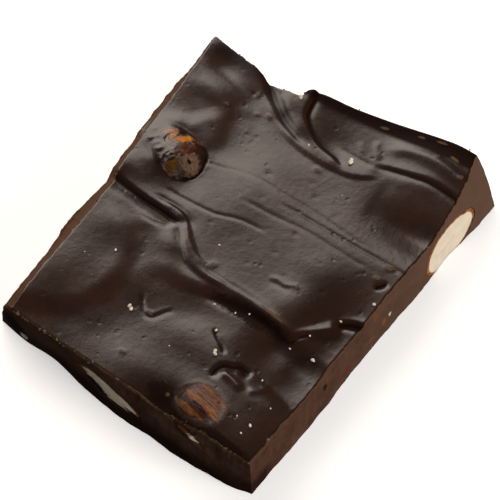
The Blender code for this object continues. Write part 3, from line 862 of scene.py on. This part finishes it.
# %% [markdown]
# The materials need to know how deep below the poured surface a point lies: 0 on the poured side,
# more on the broken sides. It is stored on the mesh as an attribute, in millimetres. Two more tell
# how far a point lies below the mean height round it, and where there are chips.

# %% Depth below the poured surface
def corner_places(obj):
    places = np.empty(len(obj.data.vertices) * 3, np.float32)
    obj.data.vertices.foreach_get("co", places)
    return places.reshape(-1, 3).astype(float) / MM


def store(obj, name, values):
    layer = obj.data.attributes.new(name, "FLOAT", "POINT")
    layer.data.foreach_set("value", np.asarray(values, np.float32))


HOLLOW_SIZE = 1.3           # the mean height is taken over about this far
x, y, z = corner_places(slab).T
store(slab, "below", surface_height(x, y) - z)
mean_height = settle(HEIGHTS, HOLLOW_SIZE).reshape(HEIGHTS.shape)
store(slab, "hollow", read_grid(mean_height - HEIGHTS, x, y))
store(slab, "chip", read_grid(chips.reshape(HEIGHTS.shape), x, y))
print("deepest point:", round(float((surface_height(x, y) - z).max()), 1), "mm below")

# %% [markdown]
# ## Shader helpers
# A small class wraps a node's output, so that shader maths reads as ordinary expressions: adding
# two wires adds a Math node. Any other node comes from the one method `add`.

# %% Wires
class Wire:
    """One output of a node, or the start of a tree. Arithmetic on wires adds Math nodes."""

    def __init__(self, tree, socket=None):
        self.tree = tree
        self.socket = socket

    def add(self, kind, settings=None, inputs=None, output=0):
        """Adds a node: its settings first, then values or wires for its sockets, by name or place."""
        node = self.tree.nodes.new(kind)
        for name, value in (settings or {}).items():
            setattr(node, name, value)
        open_sockets = [socket for socket in node.inputs if socket.enabled]
        for key, value in (inputs or {}).items():
            names = [socket.name for socket in open_sockets]
            socket = open_sockets[key if isinstance(key, int) else names.index(key)]
            if isinstance(value, Wire):
                self.tree.links.new(value.socket, socket)
            else:
                socket.default_value = value
        outputs = [socket for socket in node.outputs if socket.enabled]
        names = [socket.name for socket in outputs]
        pick = output if isinstance(output, int) else names.index(output)
        return Wire(self.tree, outputs[pick])

    def maths(self, operation, *values):
        return self.add("ShaderNodeMath", {"operation": operation}, dict(enumerate(values)))

    def __add__(self, other):
        return self.maths("ADD", self, other)

    def __radd__(self, other):
        return self.maths("ADD", other, self)

    def __sub__(self, other):
        return self.maths("SUBTRACT", self, other)

    def __rsub__(self, other):
        return self.maths("SUBTRACT", other, self)

    def __mul__(self, other):
        return self.maths("MULTIPLY", self, other)

    def __rmul__(self, other):
        return self.maths("MULTIPLY", other, self)

    def __truediv__(self, other):
        return self.maths("DIVIDE", self, other)

    def __pow__(self, other):
        return self.maths("POWER", self, other)

    def step(self, low, high):
        """0 below low, 1 above high, and smooth between. With low above high it falls."""
        return self.add("ShaderNodeMapRange", {"interpolation_type": "SMOOTHSTEP"},
                        {"Value": self, "From Min": low, "From Max": high})

    def mix(self, low, high):
        """The colour low where this wire is 0, and high where it is 1."""
        return self.add("ShaderNodeMix", {"data_type": "RGBA"},
                        {"Factor": self, "A": colour(low), "B": colour(high)})


def colour(value):
    return value if isinstance(value, Wire) else (*value, 1)


def largest(first, *others):
    """The largest of several wires at every place."""
    for other in others:
        first = first.maths("MAXIMUM", first, other)
    return first


print("methods of a wire:", ", ".join(name for name in vars(Wire) if not name.startswith("_")))

# %% Materials, noise and places
def new_material(name):
    """A material with its Principled shader, a wire to start from, and places in millimetres."""
    material = bpy.data.materials.new(name)
    material.use_nodes = True
    tree = material.node_tree
    start = Wire(tree)
    coordinates = start.add("ShaderNodeTexCoord", output="Object")
    place = start.add("ShaderNodeVectorMath", {"operation": "SCALE"},
                      {"Vector": coordinates, "Scale": 1 / MM})
    return material, tree.nodes["Principled BSDF"], start, place


CLOUD_MIDDLE = (0.3, 0.7)   # the part of a cloud's range that a colour change is spread over


def cloud(place, size, detail=3, roughness=0.55):
    """Noise from 0 to 1 with blotches of about the given size in millimetres."""
    return place.add("ShaderNodeTexNoise", {"noise_dimensions": "3D"},
                     {"Vector": place, "Scale": 1 / size, "Detail": detail,
                      "Roughness": roughness})


def seen_from(place, middle, turns, sizes):
    """Places as a turned oval sees them, where its own surface is 1 away on all sides."""
    return place.add("ShaderNodeMapping", {"vector_type": "TEXTURE"},
                     {"Vector": place, "Location": middle, "Scale": sizes,
                      "Rotation": [math.radians(angle) for angle in turns]})


def parts_of(place):
    """The x, y and z of a wire that carries a place."""
    parts = place.add("ShaderNodeSeparateXYZ", None, {"Vector": place}).socket.node.outputs
    return [Wire(place.tree, part) for part in parts]


def attribute(start, name):
    return start.add("ShaderNodeAttribute", {"attribute_name": name}, output="Fac")


def bumped(height):
    """Normals for a height in millimetres."""
    return height.add("ShaderNodeBump", None, {"Strength": 1, "Distance": MM, "Height": height})


def set_inputs(shader, values):
    for name, value in values.items():
        socket = shader.inputs[name]
        if isinstance(value, Wire):
            value.tree.links.new(value.socket, socket)
        else:
            socket.default_value = value


def two_finishes(start, shader, satin, dull, share):
    """Mixes the material's shader with a dull one, by the wire share."""
    set_inputs(shader, satin)
    dull_shader = start.add("ShaderNodeBsdfPrincipled")
    set_inputs(dull_shader.socket.node, dull)
    both = start.add("ShaderNodeMixShader", None,
                     {0: share, 1: Wire(start.tree, shader.outputs["BSDF"]), 2: dull_shader})
    start.tree.links.new(both.socket, start.tree.nodes["Material Output"].inputs["Surface"])


# %% Patches
PATCH_FULL, PATCH_GONE = 0.65, 1.25     # a patch fades between these shares of its radius
RAGGED = 1.2                # how unevenly patches end
RAGGED_SIZE = 0.9
STREAK = (3, 0.5, 0.5)      # length, width and height of the streaks in a stain
STREAK_SHADES = (0.55, 1.3)     # the darkest and the palest streak, as shares of the colour


def patch(place, ragged, middle, radii, turn):
    """1 inside an oval patch and 0 outside, with an edge that the wire ragged makes uneven.

    It reaches through all heights where only x and y are given. Its turn is then about Z, else Y.
    """
    turns = (0, 0, turn) if len(middle) == 2 else (0, turn, 0)
    away = seen_from(place, (*middle, 0)[:3], turns, (*radii, 1000)[:3])
    distance = away.add("ShaderNodeVectorMath", {"operation": "LENGTH"}, {"Vector": away},
                        output="Value")
    return (distance + ragged).step(PATCH_GONE, PATCH_FULL)


def raggedness(place):
    return RAGGED * (cloud(place, RAGGED_SIZE) - 0.5)


def stained_and_shaded(place, ragged, base, name):
    """A colour with the stains and painted shade of an almond over it, and a wire for where they are.
    """
    lengthwise = seen_from(place, (0, 0, 0), (0, 0, ALMONDS[name][1][2]), STREAK)
    streaks = cloud(lengthwise, 1).step(*CLOUD_MIDDLE)
    shares = []
    for middle, radii, turn, stain_or_shade in STAINS_AND_SHADE[name]:
        shares.append(patch(place, ragged, middle, radii, turn))
        streaked = streaks.mix(*[[shade * part for part in stain_or_shade] for shade in STREAK_SHADES])
        base = shares[-1].mix(base, streaked)
    return base, largest(*shares)


print("a patch ends raggedly between", PATCH_FULL, "and", PATCH_GONE, "of its radius")

# %% [markdown]
# ## Chocolate
# The poured side is smooth and satin, nearly black brown, with a faint grey bloom. The broken
# sides are dull and lighter, because every grain of the break scatters light, and worn edges along
# the rim are lighter still. So the material mixes a satin shader with a dull one. Hollows that
# dried matte, stains and chips on the poured side get the dull one too. Hollows, small pits, a
# band along the back edge, a few patches and the foot of the front side are also painted nearly
# black, as painted shade.

# %% Colours of the chocolate
POURED_DARK = (0.018, 0.0070, 0.0036)
POURED_BROWN = (0.028, 0.0110, 0.0056)
BROKEN_DARK = (0.052, 0.024, 0.016)
BROKEN_LIGHT = (0.095, 0.048, 0.034)
WORN_EDGE = (0.120, 0.070, 0.040)
# Painted shade: a nearly black colour laid where shade falls, in hollows, small pits, a band along
# the back edge, a few patches and the foot of the front side.
PAINTED_SHADE_COLOUR = (0.010, 0.0035, 0.0020)
LEFT_BROWN = (0.070, 0.026, 0.009)
RIGHT_PALE = (0.135, 0.080, 0.056)      # the right side near the back
STAIN_DULL = 0.93           # how dull the stains are that show through the film
WALL_MARKS = [              # middle, radii, turn and colour of marks on the broken sides
    ((36.1, 1, 10.6), (2, 0.9, 1.6), 0, (0.13, 0.052, 0.024)),
    ((37.4, 3.9, 5.2), (2, 1, 1.2), 0, (0.16, 0.066, 0.030)),
    ((36.9, -1.2, 3.6), (2, 1.4, 0.8), 0, (0.13, 0.052, 0.024)),
    ((35.9, -12.5, 3), (2, 3, 0.8), 0, (0.10, 0.030, 0.015)),
    ((37.7, 6.6, 5.4), (2, 0.6, 0.5), 0, (0.55, 0.42, 0.28)),
    # The next two marks are nearly black: painted shade.
    ((34.8, -20.7, 7.2), (2, 0.9, 0.9), 0, (0.020, 0.009, 0.006)),
    ((-42, -31, 9), (5, 5, 3.6), 0, (0.010, 0.005, 0.003)),
    ((-41.5, -42.5, 12), (4, 3, 0.9), 0, (0.16, 0.085, 0.045)),
]
MATTE_SHADED_HOLLOWS = [           # middle, radii and turn of hollows that are matte, with painted shade that makes them nearly black
    ((3.8, -44.8), (4.6, 3), -5),
    ((14.5, -47.6), (9, 1.6), -4),
    ((22, -48.4), (8, 1.3), -4),
    ((9, -15.5), (10, 2.2), -3),
]
print("marks on the broken sides:", len(WALL_MARKS))

# %% Relief and gloss of the chocolate
BLOTCH_SIZE, FINE_SIZE, GRAIN_SIZE = 9, 1.6, 0.35
SPECK_SPACING = 4.2
POURED_ROUGHNESS = (0.22, 0.08)     # the least, and how much of the fine noise is added
POURED_RELIEF = (0.055, 0.012)      # heights of the soft unevenness and the fine noise
SPECK_DEPTH = 0.03
BROKEN_RELIEF = (0.05, 0.02)        # heights of the fine noise and the grain on a broken side
DULL_CHOCOLATE = {"Roughness": 0.62, "Specular IOR Level": 0.06}


def poured_colour(blotch):
    return blotch.step(0.35, 0.7).mix(POURED_DARK, POURED_BROWN)


def poured_relief(place, fine):
    """Height of the fine unevenness of poured chocolate, in millimetres."""
    soft = cloud(place, 3.2, detail=4, roughness=0.6)
    return POURED_RELIEF[0] * soft + POURED_RELIEF[1] * fine


def poured_roughness(fine):
    return POURED_ROUGHNESS[0] + POURED_ROUGHNESS[1] * fine


print("the dull chocolate:", DULL_CHOCOLATE)

# %% Where the chocolate changes
# Each pair is where a change begins and where it is complete, in millimetres.
LEFT_SIDE = (-37, -41)      # along x
RIGHT_SIDE = (25, 32)       # along x, and its pale end along y
RIGHT_BACK = (-30, 45)
FRONT_SIDE = (-42, -46)     # along y, and the painted shadow on its foot along z
FRONT_FOOT_SHADOW = (7.5, 2)
BACK_SHADE_BAND = (48.4, 50.6)    # the band of painted shade along the back edge, along y
BACK_MATTE = (48.8, 50.4)   # the same for where it is matte, which it is right of the notch
NOTCH_RIGHT = (-16, -13)
BROKEN_FROM = (0.04, 0.30)  # depth below the poured surface
WORN_FROM = (0.03, 0.12)    # the same for the worn edge, and where it ends
WORN_TO = (1.1, 0.7)
WORN_LOSS = [(0.6, LEFT_SIDE), (0.5, (2, 6)), (0.5, (29, 31))]      # how much less is worn, along x
HOLLOW_SHADE = (0, 0.16)     # depth below the mean height, over which painted shade darkens the poured side
HOLLOW_MATTE = (0.05, 0.26)


def snapped_colour(place, ragged, blotch, fine):
    """Colour of the broken sides, with their marks and the painted shadow along the foot of the front
    side.
    """
    x, y, z = parts_of(place)
    snapped = (0.6 * blotch + 0.4 * fine).step(*CLOUD_MIDDLE).mix(BROKEN_DARK, BROKEN_LIGHT)
    snapped = x.step(*LEFT_SIDE).mix(snapped, LEFT_BROWN)
    snapped = (0.6 * y.step(*RIGHT_BACK) * x.step(*RIGHT_SIDE)).mix(snapped, RIGHT_PALE)
    # Painted shadow: the front side turns nearly black towards its foot.
    snapped = (0.8 * z.step(*FRONT_FOOT_SHADOW) * y.step(*FRONT_SIDE)).mix(snapped, PAINTED_SHADE_COLOUR)
    for middle, radii, turn, mark in WALL_MARKS:
        snapped = patch(place, ragged, middle, radii, turn).mix(snapped, mark)
    return snapped


def worn_share(x, below, chip, fine):
    """Where the rim and the chips are worn pale."""
    worn = below.step(*WORN_FROM) * (below + 1.6 * (fine - 0.5)).step(*WORN_TO)
    for loss, side in WORN_LOSS:
        worn = worn * (1 - loss * x.step(*side))
    return largest(worn, (chip + 0.5 * (fine - 0.5)).step(0.35, 0.6) * 0.8)


print("the worn rim is", WORN_TO[1], "to", WORN_TO[0], "mm wide")

# %% Chocolate material
def make_chocolate():
    material, shader, start, place = new_material("dark_chocolate")
    x, y, _ = parts_of(place)
    below, hollow, chip = [attribute(start, name) for name in ("below", "hollow", "chip")]
    blotch = cloud(place, BLOTCH_SIZE, detail=4)
    fine = cloud(place, FINE_SIZE)
    grain = cloud(place, GRAIN_SIZE, detail=2)
    ragged = raggedness(place)
    broken = below.step(*BROKEN_FROM)
    worn = worn_share(x, below, chip, fine)
    # Painted shade: the poured side turns nearly black where it lies below the mean height round it.
    poured = hollow.step(*HOLLOW_SHADE).mix(poured_colour(blotch), PAINTED_SHADE_COLOUR)
    # Painted shade: a nearly black band along the back edge, where the surface falls away.
    poured = y.step(*BACK_SHADE_BAND).mix(poured, PAINTED_SHADE_COLOUR)
    covers = []
    for name in BARE:
        poured, share = stained_and_shaded(place, ragged, poured, name)
        covers.append(share)
    cover = largest(*covers)
    # Painted shade: these patches turn the poured side nearly black, except where a stain covers it.
    shaded_patches = [patch(place, ragged, *shaded_hollow) for shaded_hollow in MATTE_SHADED_HOLLOWS]
    for share in shaded_patches:
        poured = (share * (1 - cover)).mix(poured, PAINTED_SHADE_COLOUR)
    # Specks: small pits in the poured side, darkened with painted shade.
    specks = place.add("ShaderNodeTexVoronoi", {"feature": "F1"},
                       {"Vector": place, "Scale": 1 / SPECK_SPACING}, output="Distance")
    shaded_speck = (specks + 0.5 * blotch + 0.15 * (fine - 0.5)).step(0.42, 0.30) * (1 - broken)
    poured = (0.6 * shaded_speck).mix(poured, PAINTED_SHADE_COLOUR)
    rough = BROKEN_RELIEF[0] * fine + BROKEN_RELIEF[1] * grain
    normal = bumped(poured_relief(place, fine) - SPECK_DEPTH * shaded_speck + broken * rough)
    dullness = largest(broken, 0.9 * hollow.step(*HOLLOW_MATTE), largest(*shaded_patches) * (1 - cover),
                       y.step(*BACK_MATTE) * x.step(*NOTCH_RIGHT), STAIN_DULL * cover, worn)
    snapped = snapped_colour(place, ragged, blotch, fine)
    dull = worn.mix(broken.mix(poured, snapped), WORN_EDGE)
    two_finishes(start, shader,
                 {"Base Color": poured, "Roughness": poured_roughness(fine), "Normal": normal},
                 {"Base Color": dull, "Normal": normal} | DULL_CHOCOLATE, dullness)
    return material


chocolate = make_chocolate()
print("chocolate:", len(chocolate.node_tree.nodes), "nodes")

# %% [markdown]
# ## Almond skin and flesh
# Almond skin is a thin, dry, wrinkled brown coat. Where an almond is cut, its flesh is cream and
# even, with the skin as a thin line round it. The two almonds under the poured side wear the film
# of chocolate with its stains in place of the plain skin, and shine where it is unstained.

# %% Almond material
SKIN_DARK = (0.10, 0.030, 0.010)
SKIN_LIGHT = (0.42, 0.17, 0.055)
FLESH = (0.78, 0.68, 0.54)
FLESH_SHADE = 0.9           # the darker flesh, as a share of the paler
SKIN_THICK = 0.06           # of the way from the skin to the middle of the nut
WRINKLE_SQUEEZE = (1.2, 9, 9)   # how much closer wrinkles lie along, across and up the nut
WRINKLE_RELIEF, FLESH_RELIEF, STAIN_RELIEF = 0.08, 0.02, 0.2
SATIN_SPECULAR = 0.5
DULL_ALMOND = {"Roughness": 0.55, "Specular IOR Level": 0.1}


def make_almond_material(name):
    material, shader, start, place = new_material(f"{name}_skin_and_flesh")
    middle, turns, sizes = ALMONDS[name]
    own = seen_from(place, middle, turns, [size / 2 for size in sizes])
    along, across, up = parts_of(own)
    narrow = 1 - ALMOND_POINT * along
    out = (along * along + (across * across + up * up) / (narrow * narrow)) ** 0.5
    skin = out.step(1 - 2 * SKIN_THICK, 1 - SKIN_THICK)
    squeezed = own.add("ShaderNodeMapping", {"vector_type": "POINT"},
                       {"Vector": own, "Scale": WRINKLE_SQUEEZE})
    streaks = cloud(squeezed, 1)
    blotch = cloud(place, 2.5)
    ragged = raggedness(place)
    flesh = blotch.step(*CLOUD_MIDDLE).mix(FLESH, [FLESH_SHADE * part for part in FLESH])
    if name in BARE:
        fine = cloud(place, FINE_SIZE)
        clean = poured_colour(cloud(place, BLOTCH_SIZE, detail=4))
        coat, cover = stained_and_shaded(place, ragged, clean, name)
        rough = WRINKLE_RELIEF * streaks + STAIN_RELIEF * cloud(place, 1.3)
        relief = poured_relief(place, fine) + cover * rough
        both = {"Base Color": skin.mix(flesh, coat), "Normal": bumped(relief)}
        satin = {"Roughness": poured_roughness(fine), "Specular IOR Level": SATIN_SPECULAR}
        share = 1 - skin * (1 - STAIN_DULL * cover)
        two_finishes(start, shader, both | satin, both | DULL_ALMOND, share)
    else:
        base = skin.mix(flesh, streaks.step(*CLOUD_MIDDLE).mix(SKIN_DARK, SKIN_LIGHT))
        if name in STAINS_AND_SHADE:
            base, _ = stained_and_shaded(place, ragged, base, name)
        relief = WRINKLE_RELIEF * streaks * skin + FLESH_RELIEF * blotch
        set_inputs(shader, {"Base Color": base, "Normal": bumped(relief)} | DULL_ALMOND)
    return material


# %% Dress the pieces
def dress(obj, material, node):
    obj.data.materials.clear()
    obj.data.materials.append(material)
    obj.data.shade_smooth()
    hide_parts(node)
    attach(obj, "root")


dress(slab, chocolate, "chocolate_slab")
for name, nut in nuts.items():
    slot = "almond_skin" if name in BARE else "almond_flesh"
    dress(nut, make_almond_material(name), name)
print("dressed", 1 + len(nuts), "pieces")

# %% [markdown]
# ## Crumbs, flakes and grains
# Small bits lie on the piece: thin flakes that hang on along the broken rim, and pale crumbs and
# grains on the poured side. One node tree sets a small uneven lump on every point of a point mesh,
# turned at random and as large as the point says, and it serves all kinds.

# %% A tree that sets lumps on points
LUMP_OVAL = 0.7             # width of a lump for its length
LUMP_LEAN = 0.5             # how far a lump may lean, in radians
FULL_TURN = 6.28
LUMP_NOISE = 1600           # bumps of the unevenness in a metre


def new_tree(name, sockets):
    """A geometry tree with named inputs, a Geometry output, and a wire for each input."""
    tree = bpy.data.node_groups.new(name, "GeometryNodeTree")
    for label, kind in sockets.items():
        tree.interface.new_socket(label, in_out="INPUT", socket_type=kind)
    tree.interface.new_socket("Geometry", in_out="OUTPUT", socket_type="NodeSocketGeometry")
    source = tree.nodes.new("NodeGroupInput")
    return tree, {label: Wire(tree, source.outputs[label]) for label in sockets}


def lump_tree():
    tree, given = new_tree("lumps_on_points", {
        "Geometry": "NodeSocketGeometry", "Flatness": "NodeSocketFloat",
        "Unevenness": "NodeSocketFloat", "Seed": "NodeSocketInt", "Material": "NodeSocketMaterial"})
    start = Wire(tree)

    def made(kind, **inputs):
        return start.add(f"GeometryNode{kind}", None, inputs)

    flat = start.add("ShaderNodeCombineXYZ", None,
                     {"X": 1, "Y": LUMP_OVAL, "Z": given["Flatness"]})
    ball = made("Transform", Geometry=made("MeshIcoSphere", Radius=0.5, Subdivisions=3), Scale=flat)
    turn = start.add("FunctionNodeRandomValue", {"data_type": "FLOAT_VECTOR"},
                     {"Min": (-LUMP_LEAN, -LUMP_LEAN, 0), "Max": (LUMP_LEAN, LUMP_LEAN, FULL_TURN),
                      "Seed": given["Seed"]})
    size = start.add("GeometryNodeInputNamedAttribute", {"data_type": "FLOAT"}, {"Name": "size"})
    bits = made("InstanceOnPoints", Points=made("MeshToPoints", Mesh=given["Geometry"]),
                Instance=ball, Rotation=turn, Scale=size)
    whole = made("RealizeInstances", Geometry=bits)
    rough = start.add("ShaderNodeTexNoise", {"noise_dimensions": "3D"},
                      {"Vector": made("InputPosition"), "Scale": LUMP_NOISE, "Detail": 2})
    offset = start.add("ShaderNodeVectorMath", {"operation": "SCALE"},
                       {"Vector": made("InputNormal"),
                        "Scale": (rough - 0.5) * given["Unevenness"]})
    whole = made("SetPosition", Geometry=whole, Offset=offset)
    whole = made("SetMaterial", Geometry=whole, Material=given["Material"])
    sink = tree.nodes.new("NodeGroupOutput")
    tree.links.new(whole.socket, sink.inputs["Geometry"])
    return tree


LUMPS_ON_POINTS = lump_tree()
print("lump tree:", len(LUMPS_ON_POINTS.nodes), "nodes")

# %% Bits from points
def scatter(name, places, sizes, material, **given):
    """Plain mesh of one lump for each place and size, both in millimetres."""
    mesh = bpy.data.meshes.new(name)
    mesh.from_pydata([tuple(place) for place in np.array(places) * MM], [], [])
    obj = bpy.data.objects.new(name, mesh)
    bpy.context.scene.collection.objects.link(obj)
    store(obj, "size", np.array(sizes) * MM)
    modifier = obj.modifiers.new("lumps", "NODES")
    modifier.node_group = LUMPS_ON_POINTS
    given["Material"] = material
    for item in LUMPS_ON_POINTS.interface.items_tree:
        if item.in_out == "INPUT" and item.name in given:
            modifier[item.identifier] = given[item.name]
    graph = bpy.context.evaluated_depsgraph_get()
    made = bpy.data.meshes.new_from_object(obj.evaluated_get(graph))
    obj.modifiers.clear()
    obj.data = made
    bpy.data.meshes.remove(mesh)
    made.name = name
    made.shade_smooth()
    return obj


def plain_material(name, low, high, roughness):
    material, shader, start, place = new_material(name)
    set_inputs(shader, {"Base Color": cloud(place, 0.5).step(0.35, 0.65).mix(low, high),
                        "Roughness": roughness, "Specular IOR Level": 0.3})
    return material


def on_surface(plan, lift):
    """Places on the poured side, each raised by its lift."""
    plan = np.array(plan, float)
    return np.column_stack([plan, surface_height(plan[:, 0], plan[:, 1]) + lift])


# %% Grains
GRAINS = [                  # x, y and size of each pale crumb or grain
    (-16.4, -28.6, 1.1), (-15.6, -29.1, 1.2), (8.2, -28.5, 1), (8.6, -29.3, 1.2),
    (8.9, 37.4, 1.6), (8.6, 38.4, 1), (29.4, -18.1, 1.2), (-27.8, -17.4, 0.8), (1, -17.1, 0.6),
    (6.6, -16.5, 0.6), (9.8, -15.1, 0.6), (25.7, -13.1, 0.6), (23, -18, 0.6), (21.8, -29.1, 0.6),
    (25.9, -41.6, 0.8), (25.1, -44.4, 0.7), (-6.8, -2.1, 0.6), (34.8, 2.7, 0.9), (30, -5.4, 0.6),
    (-12.4, 48.3, 1.4), (-3.3, 36.8, 0.6), (5.3, -23.3, 0.8), (22, -41, 0.4), (27.6, -35, 0.4),
    (-34, -22, 0.4), (12, 27.5, 0.4), (-2, -33, 0.4),
]
GRAIN_LIFT = 0.2            # how far a grain's middle lies above the surface, for its size
GRAIN_DARK, GRAIN_LIGHT = (0.62, 0.55, 0.44), (0.8, 0.76, 0.68)
grain_x, grain_y, grain_sizes = np.array(GRAINS).T
grain_places = on_surface(np.column_stack([grain_x, grain_y]), GRAIN_LIFT * grain_sizes)
grains = scatter("pale_grains", grain_places, grain_sizes,
                 plain_material("pale_grain", GRAIN_DARK, GRAIN_LIGHT, 0.5),
                 Flatness=0.6, Unevenness=0.0004, Seed=3)
print("grains:", len(GRAINS))

# %% Flakes
RIM_BITS = {                # flakes along each edge, and how far down its side they reach
    "front": (90, 0.9),
    "back": (10, 0.3),
    "left": (50, 0.8),
    "right": (14, 0.3),
}
FLAKE_SPREAD = 0.2          # how far from the rim they lie
FLAKE_SIZES = (0.3, 0.9)    # the smallest, and how much larger the largest is
FLAKE_DARK, FLAKE_LIGHT = (0.065, 0.032, 0.017), (0.19, 0.105, 0.058)
draw = np.random.default_rng(11)
flake_places = []
for edge, (count, reach) in RIM_BITS.items():
    plan = edge_point(RIM[edge], draw.random(count)) + draw.normal(0, FLAKE_SPREAD, (count, 2))
    flake_places.append(on_surface(plan, -reach * draw.random(count) ** 1.5))
flake_places = np.vstack(flake_places)
flake_sizes = FLAKE_SIZES[0] + FLAKE_SIZES[1] * draw.random(len(flake_places)) ** 3
flakes = scatter("rim_flakes", flake_places, flake_sizes,
                 plain_material("flaked_chocolate", FLAKE_DARK, FLAKE_LIGHT, 0.7),
                 Flatness=0.25, Unevenness=0.0005, Seed=5)
for obj, slot in ((grains, "almond_flesh"), (flakes, "dark_chocolate")):
    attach(obj, "root")
    print(obj.name, len(obj.data.polygons), "faces")

# %% [markdown]
# ## Stage
# A plain pale floor, one wide soft light behind and above on the left, which the poured side
# mirrors as sheen, and two that it does not mirror: one low on the right for the broken side
# there, and a weak one in front.

# %% Floor
FLOOR_SIZE = 6.0
bm = bmesh.new()
bmesh.ops.create_grid(bm, x_segments=1, y_segments=1, size=FLOOR_SIZE / 2)
floor = finish_object("floor", bm)
floor_paint, floor_shader = new_material("pale_floor")[:2]
set_inputs(floor_shader, {"Base Color": (0.9, 0.9, 0.9, 1), "Roughness": 0.9,
                          "Emission Color": (1, 1, 1, 1), "Emission Strength": 0.45})
floor.data.materials.append(floor_paint)
floor.visible_glossy = False
floor.visible_diffuse = False
print("floor:", FLOOR_SIZE, "m wide")

# %% Lights
LIGHTS = [                  # name, bearing, rise, distance, size, power and tint of each
    ("window", -54, 33, 0.7, (0.77, 0.63), 6.5, (1, 0.875, 0.79)),
    ("right_fill", 92, 20, 0.8, (0.5, 0.4), 6.4, (1, 0.95, 0.89)),
    ("front_fill", 195, 25, 0.8, (0.5, 0.4), 0.7, (1, 0.95, 0.89)),
]
ROOM = (0.04, 0.04, 0.04, 1)


def from_compass(bearing, rise):
    """A direction by its bearing, clockwise from +Y, and its rise above the table, in degrees."""
    bearing, rise = math.radians(bearing), math.radians(rise)
    return (math.sin(bearing) * math.cos(rise), math.cos(bearing) * math.cos(rise), math.sin(rise))


def soft_light(name, direction, distance, size, power, tint):
    light = bpy.data.lights.new(name, "AREA")
    light.color = tint
    light.shape = "RECTANGLE"
    light.size, light.size_y = size
    light.energy = power
    obj = bpy.data.objects.new(name, light)
    towards = Vector(direction).normalized()
    obj.location = towards * distance
    obj.rotation_euler = towards.to_track_quat("Z", "Y").to_euler()
    bpy.context.scene.collection.objects.link(obj)
    return obj


for name, bearing, rise, *sizes in LIGHTS:
    lamp = soft_light(name, from_compass(bearing, rise), *sizes)
    lamp.visible_glossy = name == "window"
world = bpy.data.worlds.new("room")
world.use_nodes = True
world.node_tree.nodes["Background"].inputs["Color"].default_value = ROOM
bpy.context.scene.world = world
print("lights:", ", ".join(light[0] for light in LIGHTS))

# %% Camera
AZIMUTH, ELEVATION = 31.0, 57.0     # degrees round from the front and above the table
DISTANCE = 0.42
FOCAL_PIXELS = 1659.0               # for a picture 500 pixels wide
PICTURE = 500
AIM = Vector((0, 0, 8 * MM))        # this point lands on AIM_PIXEL
AIM_PIXEL = (247, 262)

azimuth, elevation = math.radians(AZIMUTH), math.radians(ELEVATION)
back = Vector((math.sin(azimuth) * math.cos(elevation), -math.cos(azimuth) * math.cos(elevation),
               math.sin(elevation)))
right = Vector((math.cos(azimuth), math.sin(azimuth), 0))
up = back.cross(right)
camera = bpy.data.objects.new("camera", bpy.data.cameras.new("camera"))
camera.data.sensor_width = 36.0
camera.data.lens = FOCAL_PIXELS / PICTURE * camera.data.sensor_width
offset = [(AIM_PIXEL[0] - PICTURE / 2) / FOCAL_PIXELS * DISTANCE,
          (PICTURE / 2 - AIM_PIXEL[1]) / FOCAL_PIXELS * DISTANCE]
camera.location = AIM + back * DISTANCE - right * offset[0] - up * offset[1]
camera.rotation_euler = Matrix((right, up, back)).transposed().to_euler()
bpy.context.scene.collection.objects.link(camera)
bpy.context.scene.camera = camera
bpy.context.scene.view_settings.view_transform = "Standard"
print("camera at", [round(value, 3) for value in camera.location])
